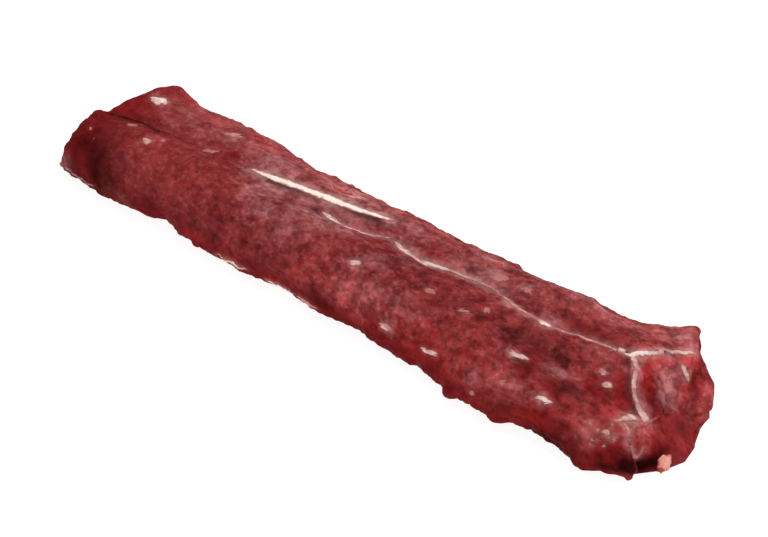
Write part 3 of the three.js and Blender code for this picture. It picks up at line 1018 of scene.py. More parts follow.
    # Painted light: lighter places where the light falls on the meat
    light: tuple[Spot | Trail, ...] = spots(
        # The rib end
        (-251, 6, 45, 10, 6.2, 0.22), (-220, -54, 22, 6, 10, 0.25), (-218, 39, 47, 9, 4.5, 0.45),
        (-198, -37, 48, 17, 14, 0.2), (-189, -21, 54, 14, 5.4, 0.2), (-187, 33, 47, 15, 6.2, 0.45),
        # From the rib end to the middle
        (-159, -42, 45, 17, 11, 0.1), (-134, 29, 50, 15, 8, 0.4), (-124, -54, 17, 7.7, 8, 0.3),
        (-97, -22, 52, 10, 18, 0.15), (-77, 27, 49, 17, 6.2, 0.15),
        # The middle
        (-51, 28, 47, 6.8, 4.5, 0.55), (-45, -50, 7, 9, 3.6, 0.6), (-19, -51, 37, 9, 7.1, 0.25),
        (-3, -49, 40, 9, 16, 0.25), (18, -51, 36, 12, 12, 0.4), (31, 32, 48, 10, 4.5, 0.5),
        (32, -54, 30, 14, 10, 0.3), (50, -50, 40, 15, 9, 0.2),
        # From the middle to the cut end
        (81, 30, 47, 26, 5.4, 0.15), (83, -53, 37, 12, 8, 0.2), (96, -56, 33, 15, 10, 0.2),
        (101, -54, 37, 12, 8, 0.25), (138, -58, 36, 17, 11, 0.3), (164, -59, 33, 12, 8, 0.25),
        (171, -26, 42, 13, 10, 0.3), (179, 29, 48, 14, 8, 0.2), (181, -13, 46, 17, 8, 0.25),
        (185, -61, 14, 6, 7.1, 0.3),
        # The cut end
        (201, -3, 47, 10, 7.1, 0.25), (212, -15, 40, 5.1, 5.4, 0.5), (220, -51, 31, 22, 11, 0.15),
        (226, 12, 41, 6.7, 6.4, 0.25), (226, 12, 40, 6.8, 6.2, 0.2), (231, 24, 40, 24, 7.1, 0.65),
        (232, 25, 38, 19, 3.6, 0.45), (233, 6, 37, 6.8, 12, 0.6), (235, -57, 24, 10, 8, 0.3),
        (239, -9, 38, 10, 9, 0.25), (241, -34, 32, 10, 7.1, 0.45), (241, -67, 13, 11, 5.4, 0.3),
        (246, 37, 38, 9, 9, 0.8), (246, 36, 38, 6, 4.5, 0.5), (248, 49, 24, 4.3, 5.4, 0.3),
        (251, 32, 20, 6, 14, 0.4), (254, 29, 18, 6.8, 12, 0.3), (257, -20, 24, 10, 7.1, 0.6),
        (257, -59, 17, 6.8, 5.4, 0.3), (259, 37, 13, 5.1, 16, 0.6), (261, -36, 23, 9, 14, 0.3),
        (263, 32, 7, 5, 8, 0.4), (274, -4, 2, 9, 7.1, 0.7),
    ) + (
        Spot((257, 39, 20), (4.5, 5.4, 7), 0.45),
        Trail(((256.6, 35.4, 16.8), (260.7, 30.7, 8.4), (265, 22, 4)), 3.5, 0.25),
    )
    bumps: tuple[Spot | Trail, ...] = spots(
        (-231, 39, 55, 7, 6, 2), (234, 6, 36, 4.3, 8, 0.8), (241, 21, 28, 9, 12, 1.4),
        (254, 45, 20, 4.3, 5.4, 1.6), (257, 41, 17, 4.3, 5.4, 1.4), (260, 37, 13, 5.1, 8, 1.8),
        (263, 33, 6, 5.1, 8, 1.8),
    ) + (
        Spot((275, -6, 3), (6, 8, 7), 4),
        Trail(((244.3, 32.2, 37.2), (248.7, 30.5, 27.2)), 2.6, 1),
    )
    dents: tuple[Spot | Trail, ...] = (
        Spot((250, 45, 25), (4.5, 4.5, 7), 3.2), Spot((269, 25, 1), (6, 6, 7), 5.5),
        Trail((
            (-265.1, -6.6, 43.8), (-250.4, 1, 41.7), (-225, 0.5, 44), (-198.4, -4.5, 49.4),
        ), 2.8, 1.6),
        Trail(((231.3, 19.1, 36.5), (238, 6.2, 32.4), (247.7, -0.9, 26.8), (254.1, 3.1, 19.5)), 3.5, 1),
        Trail(((237, 62, 33), (242.5, 54, 36.5), (245.5, 52, 31)), 4.5, 4),
        Trail(LOBE_FURROW, 2.8, 2),
        Trail(FACE_FURROW, 4.3, 1.4),
        Trail(LOBE_BRANCH, 2.4, 1.2),
    )


@dataclass(frozen=True)
class Regions:
    """How much each point of the lean lies in each of its regions, from 0 to 1.

    They are the chain muscle, the far side, the rib end, the cut face, the frayed rim round the rib end and
    the far side, and what is high enough above the table for the painted sheen and for full painted light.
    """

    chain: np.ndarray
    far: np.ndarray
    rib: np.ndarray
    face: np.ndarray
    rim: np.ndarray
    high: np.ndarray
    off_foot: np.ndarray


@dataclass
class LeanBody:
    """The lean meat: eye muscle, chain muscle and cut face in one closed skin.

    A band is where something begins and ends, in millimetres from the seam, along the meat or up from the
    table.
    """

    form: LoinForm = field(default_factory=LoinForm)
    marks: Marks = field(default_factory=Marks)
    arcs: tuple[int, ...] = (66, 32, 56, 10, 6, 20)
    counts: tuple[int, int, int] = (18, 470, 34)
    lumps: Grain = Grain(11, (7, 7, 7), 2)
    lump_height: float = 0.46
    streaks: Grain = Grain(12, (2.4, 7, 7), 2)
    streak_height: float = 0.22
    pits: Grain = Grain(13, (1.8, 2.6, 2.6))
    pit_height: float = 0.15
    ragged: Grain = Grain(14, (7, 6, 6), 2)
    face_height: float = 1.0
    rim_height: float = 1.1
    rim_inset: float = 0.8
    chain_smoothness: float = 0.4
    face_smoothness: float = 0.5
    foot_roughness: float = 0.7
    chain_from_seam: Band = (-2, 8)
    far_from_seam: Band = (26, 44)
    rib_along: Band = (-205, -250)
    rib_rim_along: Band = (-240, -262)
    even_along: Band = (-190, -60)
    swell_up: Band = (1, 9)
    relief_up: Band = (0.5, 5)
    # Heights over which the pinkness and painted sheen, and the painted light, rise from the foot
    pink_and_painted_sheen_up: Band = (8, 34)
    light_up: Band = (8, 30)
    face_fade: tuple[float, ...] = (0.15, 0.5, 0.85)
    # Levels of pinkness and painted sheen
    eye_pink_and_painted_sheen: float = 0.09
    chain_pink_and_painted_sheen: float = 0.07
    face_pink_and_painted_sheen: float = 0.05
    rib_clearness: float = 0.95
    # Levels of painted light, and of painted shade on the foot and the rib end
    body_light: float = 0.88
    chain_light: float = 0.02
    far_light: float = 0.25
    foot_shade: float = 0.22
    rib_shade: float = 0.15
    chain_unshaded: float = 0.6
    rib_grain: float = 0.55
    light_range: Band = (0.12, 2)

    def swollen(self, rings: np.ndarray) -> np.ndarray:
        """Lifts the rings along their normals by the form's swell, and frays the foot of the near flank.

        Args:
            rings: The form's rings.

        Returns:
            The same points, with a swell that fades out close to the flat underside.
        """
        z, normals = rings[..., 2], ring_normals(rings)
        clear = smooth(*self.swell_up, z)
        lift = self.form.swell(rings) * clear
        points = rings + normals * lift[..., None]
        points[..., 2] = z + normals[..., 2] * (lift * clear)
        points[..., 1] -= self.form.rag(rings)
        return points

    def regions(self, rings: np.ndarray, places: np.ndarray) -> Regions:
        """Finds the regions of the skin.

        Args:
            rings: The form's rings.
            places: The same points when swollen, in the shared frame.

        Returns:
            The regions.
        """
        from_seam = rings[..., 1] - self.form.seam_y.at(rings[..., 0])
        far = smooth(*self.far_from_seam, from_seam)
        face, cap = np.zeros(far.shape), self.counts[2]
        face[-cap:] = 1
        face[-cap - len(self.face_fade) : -cap] = np.array(self.face_fade)[:, None]
        return Regions(
            chain=smooth(*self.chain_from_seam, from_seam),
            far=far,
            rib=smooth(*self.rib_along, places[..., 0]),
            face=face,
            rim=np.maximum(far, smooth(*self.rib_rim_along, places[..., 0])) * (1 - face),
            high=smooth(*self.pink_and_painted_sheen_up, rings[..., 2]),
            off_foot=smooth(*self.light_up, rings[..., 2]),
        )

    def relief(self, rings: np.ndarray, on: Regions) -> np.ndarray:
        """How far the fine relief lifts the skin.

        Lumps, streaks round the section and pits are less on the smooth chain muscle and on the cut face,
        and more on the foot. Broad ragged lumps are on the cut face and the rim, which lies a little inwards,
        so that they don't make the meat wider. All of it fades out close to the flat underside.

        Args:
            rings: The form's rings.
            on: The regions of their points.

        Returns:
            The lift in millimetres.
        """
        foot_rough = 1 + self.foot_roughness - self.foot_roughness * on.high
        rough = (1 - self.chain_smoothness * on.chain) * foot_rough
        lumps = self.lump_height * self.lumps.at(rings)
        streaks = self.streak_height * self.streaks.at(rings)
        skin = rough * (lumps + streaks + self.pit_height * self.pits.at(rings))
        broad = (self.face_height * on.face + self.rim_height * on.rim) * self.ragged.at(rings)
        lift = skin * (1 - self.face_smoothness * on.face) + broad - self.rim_inset * on.rim
        return lift * smooth(*self.relief_up, rings[..., 2])

    def tints(self, points: np.ndarray, on: Regions) -> dict[str, np.ndarray]:
        """Works out the pinkness and painted sheen, the painted light and shade, and the grain of each point.

        The pinkness and painted sheen are more on the chain muscle and none on the flanks' foot. The painted
        light is more on the far side, and less on the foot and the rib end, where shade is painted. The marks
        are added to both. Grain is less on the rib end and the foot, where the mottling is faint.

        Args:
            points: The finished points in the shared frame.
            on: Their regions.

        Returns:
            The values by the name of the attribute that carries them.
        """
        marks, body = self.marks, 1 - on.face
        # Pinkness and painted sheen, more up high and on the chain muscle
        pink_and_painted_sheen = on.high * (self.eye_pink_and_painted_sheen + self.chain_pink_and_painted_sheen * on.chain)
        pink_and_painted_sheen = pink_and_painted_sheen * (1 - self.rib_clearness * on.rib) * body + self.face_pink_and_painted_sheen * on.face
        # Painted shade on the foot and the rib end, painted light on the far side
        rib_shade = self.rib_shade * on.rib * (1 - self.chain_unshaded * on.chain)
        shade = self.foot_shade * (1 - on.off_foot) + rib_shade
        light = self.body_light + self.chain_light * on.chain + self.far_light * on.far - shade
        light = light * body + on.face + (added(marks.light, points) - added(marks.dark, points))
        even = smooth(*self.even_along, points[..., 0]) * on.off_foot
        return {
            "grain": self.rib_grain + (1 - self.rib_grain) * even,
            "pink_and_painted_sheen": np.clip(pink_and_painted_sheen + added(marks.pink_and_painted_sheen, points), 0, 1),
            "light": np.clip(light, *self.light_range),
        }

    def build(self) -> tuple[bpy.types.Object, Skin]:
        """Builds the body: the swollen form, lifted along its normals by the relief, bumps and dents.

        Returns:
            The piece, and its skin for other pieces to lie on.
        """
        middle = np.array(self.form.middle)
        rings = self.form.rings(self.arcs, self.counts)
        swollen = self.swollen(rings)
        normals, places = ring_normals(swollen), swollen - middle
        on = self.regions(rings, places)
        lift = self.relief(rings, on) + (added(self.marks.bumps, places) - added(self.marks.dents, places))
        points = swollen + normals * lift[..., None]
        points[..., 2] = np.maximum(points[..., 2], 0)
        points -= middle
        piece = make_piece("lean_body", points, self.tints(points, on), LeanFinish().make())
        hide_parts("striploin")
        return piece, Skin(points.reshape(-1, 3), normals.reshape(-1, 3))


@dataclass(frozen=True)
class Strip:
    """A strip of silverskin or sinew laid along a path on the meat.

    The path has the x, y, z, width and tone of each place. The strip's edges are sunk a little into the
    skin, and its root reaches deeper, most under its middle.
    """

    path: tuple[tuple[float, float, float, float, float], ...]
    thick: float = 0.5
    rag: float = 0.14
    seed: int = 1
    step: float = 0.8
    across: int = 9
    least_width: float = 0.3
    taper: Band = (-0.5, 2.5)
    edge_sunk: float = 0.06
    edge_root: float = 0.25
    middle_root: float = 0.6
    least_rings: int = 8
    rag_size: float = 3
    rag_aside: float = 9
    end_arch: float = 0.6
    arch_waver: float = 0.15
    edge_power: float = 1.6

    def rings(self, skin: Skin) -> tuple[np.ndarray, dict[str, np.ndarray]]:
        """Works out the strip's closed skin.

        Cubic curves run through the path's places, widths and tones, against the length along it. Each ring
        goes over the top from one edge to the other, raised by a flat arch, and back inside the meat. Seeded
        noise makes the width, read aside of the path for each edge, and the arch uneven.

        Args:
            skin: The skin that it lies on.

        Returns:
            Rings of points in millimetres, and their tints.
        """
        path = np.array(self.path, float)
        steps = np.linalg.norm(np.diff(path[:, :3], axis=0), axis=1)
        length = np.concatenate([[0], np.cumsum(steps)])
        s = np.linspace(0, length[-1], max(self.least_rings, int(length[-1] / self.step)))
        x, y, z, wide, tone = (Curve(tuple(zip(length, column))).at(s) for column in path.T)
        centre = np.stack([x, y, z], -1)
        wide = np.maximum(wide, self.least_width)
        on_skin, up = skin.lay(centre)
        ahead = np.gradient(on_skin, axis=0)
        side = np.cross(up, ahead)
        side /= np.linalg.norm(side, axis=1, keepdims=True)
        skin.soften(path)
        noise = Grain(self.seed, (self.rag_size,) * 3, 2)
        v = np.linspace(-1, 1, self.across)
        ends = np.minimum(smooth(*self.taper, s), smooth(*self.taper, length[-1] - s))
        aside = side * self.rag_aside
        ragged = 1 + self.rag * np.stack([noise.at(centre + aside), noise.at(centre - aside)], -1)
        half = (wide * ends)[:, None] / 2 * np.where(v[None] > 0, ragged[:, :1], ragged[:, 1:])
        places = on_skin[:, None] + side[:, None] * (half * v[None])[..., None]
        top, normal = skin.lay(places)
        arch = self.thick * np.sqrt(np.maximum(1 - v**2, 0))[None]
        arch = arch * (self.end_arch + (1 - self.end_arch) * ends[:, None])
        arch = (arch - self.edge_sunk) * (1 + self.arch_waver * noise.at(top))
        upper = top + normal * arch[..., None]
        root = self.edge_root + self.middle_root * (1 - v[::-1] ** 2)
        lower = top[:, ::-1] - normal[:, ::-1] * root[None, :, None]
        v_round = np.concatenate([v, v[-2:0:-1]])
        edge = np.abs(v_round) ** self.edge_power + 0 * s[:, None]
        tints = {"tone": tone[:, None] + 0 * v_round, "edge": edge}
        return np.concatenate([upper, lower[:, 1:-1]], axis=1), tints


@dataclass
class Strips:
    """A sub-assembly of strips, each in a field of its own."""

    def lay(self, skin: Skin, finish: bpy.types.Material) -> None:
        """Lays every strip on the skin, each as a piece named as its field is.

        Args:
            skin: The skin that they lie on.
            finish: Their material.
        """
        for part in fields(self):
            rings, tints = getattr(self, part.name).rings(skin)
            make_piece(part.name, rings, tints, finish)


@dataclass
class Silverskin(Strips):
    """The white membrane along the seam, the sinew on the chain muscle, and the rims of the cut face."""

    chain_sinew: Strip = Strip((
        (-119.8, 1, 48.7, 1.8, 0.35), (-113.4, 1.6, 49.1, 3, 0.5), (-102.9, 2.2, 49.4, 4.6, 0.8),
        (-88.7, 2.9, 50.5, 5.9, 0.9), (-76.7, 3.7, 51.4, 6.2, 0.85), (-66, 5.7, 50.8, 7.1, 0.9),
        (-56.6, 8.1, 49.9, 6.8, 0.95), (-46.6, 9.8, 49.6, 7, 1), (-35.6, 10.3, 50, 6.6, 0.95),
        (-24.6, 10.8, 50.7, 6.3, 1), (-15.1, 11.7, 51.5, 5, 0.9), (-6, 13.1, 51.9, 4, 0.8),
        (1.5, 15.3, 51.6, 3, 0.5), (6.3, 17.2, 51.1, 1, 0.1),
    ), 0.7, seed=21)
    seam_start: Strip = Strip((
        (-45, -4.5, 46.8, 1, 0.3), (-40.8, -3.9, 46.7, 2.7, 0.5), (-37.1, -4.3, 46.4, 3.7, 0.6),
        (-30.7, -4.6, 46, 3.1, 0.6), (-23.8, -4.9, 45.9, 2.5, 0.4), (-14.7, -5.5, 46.5, 3.6, 0.6),
        (-6.2, -4.5, 46.8, 3.1, 0.4), (1.2, -2.3, 46.9, 3.1, 0.4), (8, 0.5, 47.3, 1.6, 0.3),
        (14, 3.2, 47.4, 0.9, 0.3),
    ), 0.4, seed=22)
    seam: Strip = Strip((
        (16, 3, 46.7, 1.1, 0.1), (21.1, 2.5, 45.5, 3.2, 0.4), (28.3, 0.5, 44.8, 5.7, 0.5),
        (39.6, -3, 45.9, 6.9, 0.5), (48.2, -2.4, 45.8, 5.1, 0.5), (57.4, -1.6, 47.1, 3.4, 0.65),
        (66.1, -0.2, 47.4, 2.6, 0.5), (72.3, 1, 47.2, 2.5, 0.32), (82.2, 3, 46.6, 2.1, 0.32),
        (94.2, 5.6, 45.4, 1.8, 0.32), (106.6, 6.5, 44.2, 1.7, 0.32), (123.3, -2.3, 49.4, 3, 0.32),
        (142.1, -6.4, 49.9, 2.9, 0.32), (149.6, -6.2, 49.7, 3, 0.1), (155.6, -6.3, 49.3, 6.2, 0.55),
        (160.7, -6.3, 49, 6.2, 0.6), (165, -5.4, 48.5, 2.8, 0.1), (172.7, -2.2, 47.2, 2.4, 0.25),
        (178.3, 2.5, 44.5, 2.9, 0.3), (189.1, 4.7, 43.6, 3.6, 0.4), (200.8, 5.5, 44.9, 4.3, 0.35),
        (209, 6.7, 45, 5.4, 0.45), (213.8, 7.9, 44.7, 5.6, 0.55), (217.9, 9.1, 44.4, 5, 0.6),
    ), 0.45, seed=23)
    top_rim: Strip = Strip((
        (213.7, 5.9, 45.3, 3.8, 0.45), (217.3, 8.8, 44.4, 7.1, 0.75), (220.7, 12.9, 44.3, 5.8, 0.7),
        (224.1, 19.4, 43, 4, 0.6), (228.2, 24.9, 42.5, 3.5, 0.5), (233.5, 28.6, 43.2, 4.3, 0.42),
        (237.5, 34.4, 41.9, 6.5, 0.42), (241.9, 39.5, 40.9, 5.1, 0.5), (245.7, 42.1, 40.6, 1.4, 0.3),
    ), 0.6, seed=24)
    side_rim: Strip = Strip((
        (218.1, 9.3, 44.4, 3, 0.55), (223.6, 5.9, 44.2, 6.8, 0.42), (228.6, 0.1, 43.4, 5.4, 0.35),
        (231.9, -5.2, 41.6, 3.6, 0.35), (234.3, -9, 38.5, 3.6, 0.4), (237.4, -12.4, 35.5, 3.4, 0.3),
        (241, -15, 32.4, 3.2, 0.35), (244.8, -16.8, 29.6, 4.2, 0.4), (248.8, -18.3, 27.7, 5.6, 0.42),
        (252.8, -20, 26.3, 6.1, 0.35), (257.1, -22.6, 26, 2.2, 0.2),
    ), 0.8, seed=25)
    lobe_patch: Strip = Strip((
        (241.5, -40.2, 30.7, 0.7, 0.3), (243.8, -36.8, 30.8, 2.6, 0.4), (245.6, -31.7, 30.1, 5.3, 0.45),
        (246.6, -26, 28.3, 8.1, 0.5), (249.6, -24, 27, 5.4, 0.3), (252.6, -22.5, 26, 1.4, 0.2),
    ), 0.5, seed=29)
    lobe_rim: Strip = Strip((
        (245.2, -36.5, 30.4, 1.2, 0.2), (249.6, -36.9, 29.4, 2.7, 0.3), (253.2, -39.2, 28.5, 2.2, 0.2),
        (256.4, -42.3, 27.2, 1.7, 0.1), (259.4, -45.7, 25.2, 3.2, 0.15), (261.5, -46, 21.5, 4, 0.15),
        (263.5, -44.8, 17, 3.8, 0.25), (264.1, -41.8, 15.2, 2.6, 0.2), (264.1, -39, 17.1, 1.9, 0.1),
        (263.3, -36.6, 20.1, 1.1, 0),
    ), 0.5, seed=26)
    face_streak: Strip = Strip((
        (242.7, 31.5, 38.4, 1, 0.3), (244.2, 31.3, 36, 2.9, 0.55), (246.2, 31.2, 32.9, 3.6, 0.5),
        (248.2, 31.1, 29.1, 3, 0.4), (250.2, 30.9, 25.2, 0.8, 0.2),
    ), 0.6, seed=27)
    foot_fringe: Strip = Strip((
        (-266.7, -51.8, 13.3, 1.9, 0.1), (-261.1, -52, 11.8, 3, 0.25), (-253.6, -52, 11, 2.2, 0.1),
        (-243.1, -51.6, 10.4, 1.6, 0), (-230, -53.6, 12.2, 1.2, 0),
    ), 0.4, seed=28)

    def build(self, skin: Skin) -> None:
        """Lays the membranes, white to pink."""
        self.lay(skin, MEMBRANE.make())


@dataclass
class EdgeFat(Strips):
    """Thin pinkish fat left along the foot of the near flank."""

    foot_fat_rib: Strip = Strip((
        (-100.7, -55.4, 11.2, 1.2, 0.2), (-94, -55, 10.6, 3, 0.5), (-86, -55.1, 10.9, 3.8, 0.7),
        (-77.3, -55.8, 11.8, 3, 0.5), (-70.4, -55.9, 12.1, 1.2, 0.2),
    ), 0.6, seed=41)
    foot_fat_middle: Strip = Strip((
        (-55.3, -51.4, 7.7, 1.2, 0.4), (-50.6, -49.2, 5.7, 3.2, 0.9), (-45, -48, 4.6, 3.8, 0.8),
        (-35.4, -51, 7.7, 2.8, 0.6), (-27.1, -53.6, 10.4, 1.2, 0.3),
    ), 0.6, seed=42)
    foot_fat_cut: Strip = Strip((
        (-23.9, -54, 10.5, 1.2, 0.1), (-18.7, -54.4, 10.6, 3.8, 0.2), (-12.7, -54.7, 11.1, 4.5, 0.2),
        (-7.8, -54.9, 10.9, 3.2, 0.1), (-2.7, -55.3, 11.1, 1.2, 0),
    ), 0.6, seed=43)

    def build(self, skin: Skin) -> None:
        """Lays the fat, cream to pink."""
        self.lay(skin, EDGE_FAT.make())


@dataclass(frozen=True)
class Fleck:
    """One small scrap of fat or membrane on the meat: its place, length, width, turn, height and tone."""

    place: Point
    long: float
    wide: float
    turn: float
    high: float
    tone: float


def flecks(*rows: tuple[float, ...]) -> tuple[Fleck, ...]:
    """Makes flecks from rows of x, y, z, length, width, turn, height and tone."""
    return tuple(Fleck(row[:3], *row[3:]) for row in rows)


@dataclass
class Flecks:
    """Small irregular domes scattered on the meat, all of one finish.

    The lean is paler along the middle of each, by the two shares of its length and width. The measures of the
    shards beside a long fleck are shares of its own, apart from their turn, which is in degrees.
    """

    name: str
    flecks: tuple[Fleck, ...]
    seed: int
    halo: float = 1.0
    pale_long: float = 0.6
    pale_wide: float = 0.7
    points_round: int = 14
    reaches: tuple[float, ...] = (0.3, 0.62, 0.86, 1.0, 0.62, 0.25)
    heights: tuple[float, ...] = (1.0, 0.85, 0.5, -0.25, -0.8, -0.9)
    edges: tuple[float, ...] = (0.0, 0.2, 0.65, 1.0, 1.0, 1.0)
    sideways: Point = (0, 1, 0.3)
    waver_waves: tuple[int, ...] = (2, 3, 5)
    waver_height: Band = (0.12, 0.36)
    shards_from: float = 6
    shard_ahead: Band = (0.2, 0.4)
    shard_aside: Band = (-0.3, 0.3)
    shard_long: Band = (0.35, 0.6)
    shard_wide: Band = (0.25, 0.5)
    shard_turn: Band = (-30, 30)
    shard_high: float = 0.7
    shard_tone: float = 0.8

    def shards(self, fleck: Fleck, draw: np.random.Generator) -> list[Fleck]:
        """Draws the two thinner shards that lie beside a long fleck.

        Args:
            fleck: The fleck.
            draw: Where the random numbers come from.

        Returns:
            The shards, or none where the fleck is short.
        """
        if fleck.long < self.shards_from:
            return []
        found = []
        for side in (-1, 1):
            ahead = side * fleck.long * draw.uniform(*self.shard_ahead)
            aside = fleck.wide * draw.uniform(*self.shard_aside)
            long = fleck.long * draw.uniform(*self.shard_long)
            wide = fleck.wide * draw.uniform(*self.shard_wide)
            turn = fleck.turn + draw.uniform(*self.shard_turn)
            place = tuple(np.array(fleck.place) + (ahead, aside, 0))
            found.append(Fleck(place, long, wide, turn, fleck.high * self.shard_high,
                               fleck.tone * self.shard_tone))
        return found

    def wavering(self, count: int, angle: np.ndarray, draw: np.random.Generator) -> np.ndarray:
        """Draws how the reach of each fleck wavers round it.

        Args:
            count: How many flecks there are.
            angle: The angles of the points round each.
            draw: Where the random numbers come from.

        Returns:
            A row for each fleck, of 1 plus some sines of the angle.
        """
        waver = np.ones((count, self.points_round))
        for waves in self.waver_waves:
            phase = draw.uniform(0, 2 * np.pi, (count, 1))
            height = draw.uniform(*self.waver_height, (count, 1)) / np.sqrt(waves)
            waver += height * np.sin(waves * angle + phase)
        return waver

    def build(self, skin: Skin, finish: bpy.types.Material) -> None:
        """Builds the flecks as one piece.

        Each is rings of a flat dome whose reach round the middle wavers, laid on the skin.

        Args:
            skin: The skin that they lie on.
            finish: Their material.
        """
        draw = np.random.default_rng(self.seed)
        all_flecks = self.flecks + tuple(s for fleck in self.flecks for s in self.shards(fleck, draw))
        count = len(all_flecks)
        long, wide, turn, high, tone = (
            np.array([getattr(fleck, name) for fleck in all_flecks])[:, None, None]
            for name in ("long", "wide", "turn", "high", "tone")
        )
        angle = np.linspace(0, 2 * np.pi, self.points_round, endpoint=False)
        waver = self.wavering(count, angle, draw)
        centre, up = skin.lay(np.array([fleck.place for fleck in all_flecks], float))
        level = np.cross(up, np.array(self.sideways))
        level /= np.linalg.norm(level, axis=1, keepdims=True)
        side = np.cross(up, level)
        reach = np.array(self.reaches)[None, :, None] * waver[:, None]
        a = long / 2 * np.cos(angle) * reach
        b = wide / 2 * np.sin(angle) * reach
        cos, sin = np.cos(np.radians(turn)), np.sin(np.radians(turn))
        places = (centre[:, None, None] + (a * cos - b * sin)[..., None] * level[:, None, None]
                  + (a * sin + b * cos)[..., None] * side[:, None, None])
        along = (cos[:, 0] * level + sin[:, 0] * side) * self.pale_long * long[:, 0] / 2
        for fleck, middle, end in zip(all_flecks, centre, along):
            ends = np.stack([middle - end, middle + end])
            size = np.tile([fleck.wide * self.pale_wide, fleck.tone], (2, 1))
            skin.soften(np.hstack([ends, size]), self.halo)
        laid, normal = skin.lay(places)
        rise = high * np.array(self.heights)[None, :, None]
        shape = np.ones((count, len(self.reaches), self.points_round))
        tints = {
            "edge": shape * np.array(self.edges)[None, :, None],
            "tone": shape * tone,
        }
        make_piece(self.name, laid + normal * rise[..., None], tints, finish)


def scattered(skin: Skin, seed: int, count: int, sizes: Band) -> tuple[Fleck, ...]:
    """Draws tiny flecks at random places on the upper part of the skin.

    Args:
        skin: The skin that they lie on.
        seed: The draw's seed.
        count: How many.
        sizes: The least and greatest length, which a second draw cuts by up to half.

    Returns:
        The flecks.
    """
    least_height, least_facing = 12, -0.2
    cut_to, narrowness, half_turn = (0.5, 1), (0.3, 0.8), 180
    draw = np.random.default_rng(seed)
    high = np.flatnonzero((skin.points[:, 2] > least_height) & (skin.normals[:, 2] > least_facing))
    chosen = skin.points[draw.choice(high, count, replace=False)]
    long = draw.uniform(*sizes, count) * draw.uniform(*cut_to, count)
    narrow, turn = draw.uniform(*narrowness, count), draw.uniform(0, half_turn, count)
    return tuple(
        Fleck(tuple(chosen[i]), long[i], long[i] * narrow[i], turn[i], high=0.14, tone=0.25)
        for i in range(count)
    )


PALE_FLECKS = flecks(
    (215.6, 8.3, 44.6, 9, 6, 20, 0.6, 0.5), (-269, -51, 14, 6, 4, 0, 1.4, 0.1),
    (-233.8, 21.1, 51.5, 15, 10, 178, 0.7, 0.6), (-251.9, -33.2, 45.1, 3.3, 2.2, 158, 0.3, 0.3),
    (-223.6, -16.8, 51.7, 8.3, 4, 19, 0.4, 0), (-197.7, -26.4, 53, 8, 6, 15, 0.4, 0.4),
    (-188.4, -19.2, 53.5, 4.6, 4.2, 80, 0.4, 0.1), (16.8, -37.3, 49.1, 10.5, 4, 33, 0.6, 0.4),
    (62.6, -57, 27.9, 12, 5, 5, 0.5, 0.4), (103.2, -58.8, 28, 14.5, 3.8, 6, 0.5, 0.5),
    (163.5, -40, 44.1, 13.5, 4.6, 22, 0.5, 0.4), (195.5, -54.3, 33.4, 13, 3.6, 15, 0.5, 0.6),
    (146.8, -67.1, 20.7, 4.9, 2.9, 4, 0.4, 0), (219.6, -18.2, 36.3, 7.5, 5.5, 7, 0.4, 0.4),
    (212.5, -13.7, 40.7, 7, 4, 154, 0.4, 0.3), (-37.8, 24.3, 48.9, 12, 6, 60, 0.5, 0.3),
    (-158.5, 24.3, 50.7, 12, 7, 45, 0.4, 0.3), (-156.8, -1.5, 49.7, 12, 6, 52, 0.4, 0.1),
    (80.7, -33, 53.5, 9.3, 3.2, 17, 0.3, 0.1), (110.8, -33.3, 51.5, 8.3, 2.5, 24, 0.3, 0),
    (121.3, -22.1, 51.3, 6.8, 4, 108, 0.3, 0.2), (100.9, 16.6, 47.4, 12, 8, 4, 0.4, 0.1),
    (126.2, 14.3, 50.5, 8.8, 4.3, 1, 0.3, 0), (164.6, -57.4, 34.2, 4.1, 2, 31, 0.3, 0.1),
    (229.5, -55.7, 26.7, 2.6, 2, 27, 0.3, 0.1), (231.1, -50.6, 29.4, 3.3, 2.1, 8, 0.3, 0.1),
    (237.7, -50.8, 28.1, 3.2, 2.8, 33, 0.3, 0.1), (242.6, -48.7, 27.8, 5, 4.5, 39, 0.4, 0.3),
    (242.6, -42.5, 29.8, 2.6, 2.2, 48, 0.3, 0), (238.1, -57.1, 23.9, 2.7, 1.9, 179, 0.3, 0.1),
    (246.7, -55.8, 22.8, 2.6, 2, 31, 0.3, 0), (249.7, -49.3, 25.4, 2.1, 1.9, 128, 0.3, 0.1),
)
RED_FLECKS = flecks(
    (-54.9, 25.2, 47.7, 9.8, 5.2, 41, 0.7, 0.2), (-47.4, 24.4, 48, 8.8, 4.7, 40, 0.7, 0.3),
    (89.2, 28.7, 47.2, 8.6, 6.8, 119, 0.5, 0.1),
)
FAT_LUMPS = flecks(
    (272.6, -23.3, 3.9, 17, 8, 95, 2.4, 0.75), (273.2, -28, 1.8, 6, 5, 120, 1.6, 0.9),
)


class Softbox(Enum):
    """The studio's lights: place, the point each faces, size and strength."""

    OVERHEAD = ((-0.15, 0.35, 1.30), (0, 0, 0), 1.3, 14.0)
    FRONT = ((0.3, -1.6, 0.9), (0, 0, 0), 1.2, 10.5)
    SIDE = ((1.3, 0.3, 0.6), (0.1, 0, 0), 0.8, 3.0)


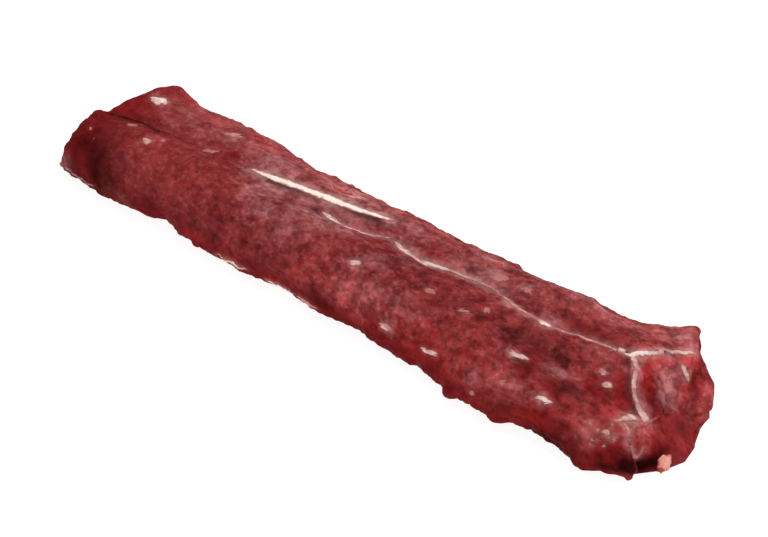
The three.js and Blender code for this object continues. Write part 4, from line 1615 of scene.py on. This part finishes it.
@dataclass
class Studio:
    """A pale floor, soft light and the camera."""

    target: Point = (0.008519, 0.002032, 0.020)
    turn: float = 41.5
    tilt: float = 35
    distance: float = 1.8
    lens: float = 120.23
    sensor: float = 36
    sky: float = 0.3
    floor_half: float = 4.0
    floor_grey: float = 0.30
    floor_glow: float = 0.88

    def build(self) -> None:
        """Sets up the floor, the lights, the sky and the camera."""
        self.floor()
        for light in Softbox:
            self.light(light)
        world = bpy.data.worlds.new("studio_sky")
        world.use_nodes = True
        world.node_tree.nodes["Background"].inputs["Strength"].default_value = self.sky
        world.node_tree.nodes["Background"].inputs["Color"].default_value = (1, 1, 1, 1)
        bpy.context.scene.world = world
        bpy.context.scene.view_settings.view_transform = "Standard"
        self.camera()

    def floor(self) -> None:
        """Lays a plain pale floor."""
        half, grey = self.floor_half, self.floor_grey
        mesh = bpy.data.meshes.new("floor")
        mesh.from_pydata([(-half, -half, 0), (half, -half, 0), (half, half, 0), (-half, half, 0)], [],
                         [(0, 1, 2, 3)])
        floor = bpy.data.objects.new("floor", mesh)
        material = bpy.data.materials.new("pale_floor")
        material.use_nodes = True
        shader = material.node_tree.nodes["Principled BSDF"].inputs
        shader["Base Color"].default_value = (grey, grey, grey, 1)
        shader["Roughness"].default_value = 0.9
        shader["Specular IOR Level"].default_value = 0.1
        shader["Emission Color"].default_value = (1, 1, 1, 1)
        shader["Emission Strength"].default_value = self.floor_glow
        mesh.materials.append(material)
        bpy.context.scene.collection.objects.link(floor)

    def light(self, softbox: Softbox) -> None:
        """Hangs one softbox.

        Args:
            softbox: Which one.
        """
        place, aim, size, strength = softbox.value
        data = bpy.data.lights.new(softbox.name.lower(), "AREA")
        data.shape = "DISK"
        data.size = size
        data.energy = strength
        lamp = bpy.data.objects.new(softbox.name.lower(), data)
        lamp.location = place
        lamp.rotation_euler = (Vector(aim) - Vector(place)).to_track_quat("-Z", "Y").to_euler()
        bpy.context.scene.collection.objects.link(lamp)

    def camera(self) -> None:
        """Puts the camera at its turn round the meat and its tilt above it, facing the target."""
        turn, tilt = np.radians([self.turn, self.tilt])
        back = Vector((np.sin(turn) * np.cos(tilt), -np.cos(turn) * np.cos(tilt), np.sin(tilt)))
        data = bpy.data.cameras.new("camera")
        data.lens = self.lens
        data.sensor_width = self.sensor
        camera = bpy.data.objects.new("camera", data)
        camera.location = Vector(self.target) + self.distance * back
        camera.rotation_euler = (-back).to_track_quat("-Z", "Y").to_euler()
        bpy.context.scene.collection.objects.link(camera)
        bpy.context.scene.camera = camera


def main() -> None:
    """Builds the meat and the studio."""
    logging.basicConfig(level=logging.INFO, format="%(message)s")
    body, skin = LeanBody().build()
    Silverskin().build(skin)
    EdgeFat().build(skin)
    membrane = FLECK_MEMBRANE.make()
    Flecks("pale_flecks", PALE_FLECKS, seed=31, halo=0.4).build(skin, membrane)
    fine_flecks = scattered(skin, seed=32, count=60, sizes=(0.8, 2.2))
    Flecks("fine_flecks", fine_flecks, seed=33, halo=0.25).build(skin, membrane)
    Flecks("raw_shreds", RED_FLECKS, seed=34).build(skin, RAW_SHREDS.make())
    Flecks("cut_fat", FAT_LUMPS, seed=35, halo=0.1).build(skin, CUT_FAT.make())
    skin.colour(body)
    Studio().build()


if __name__ == "__main__":
    main()
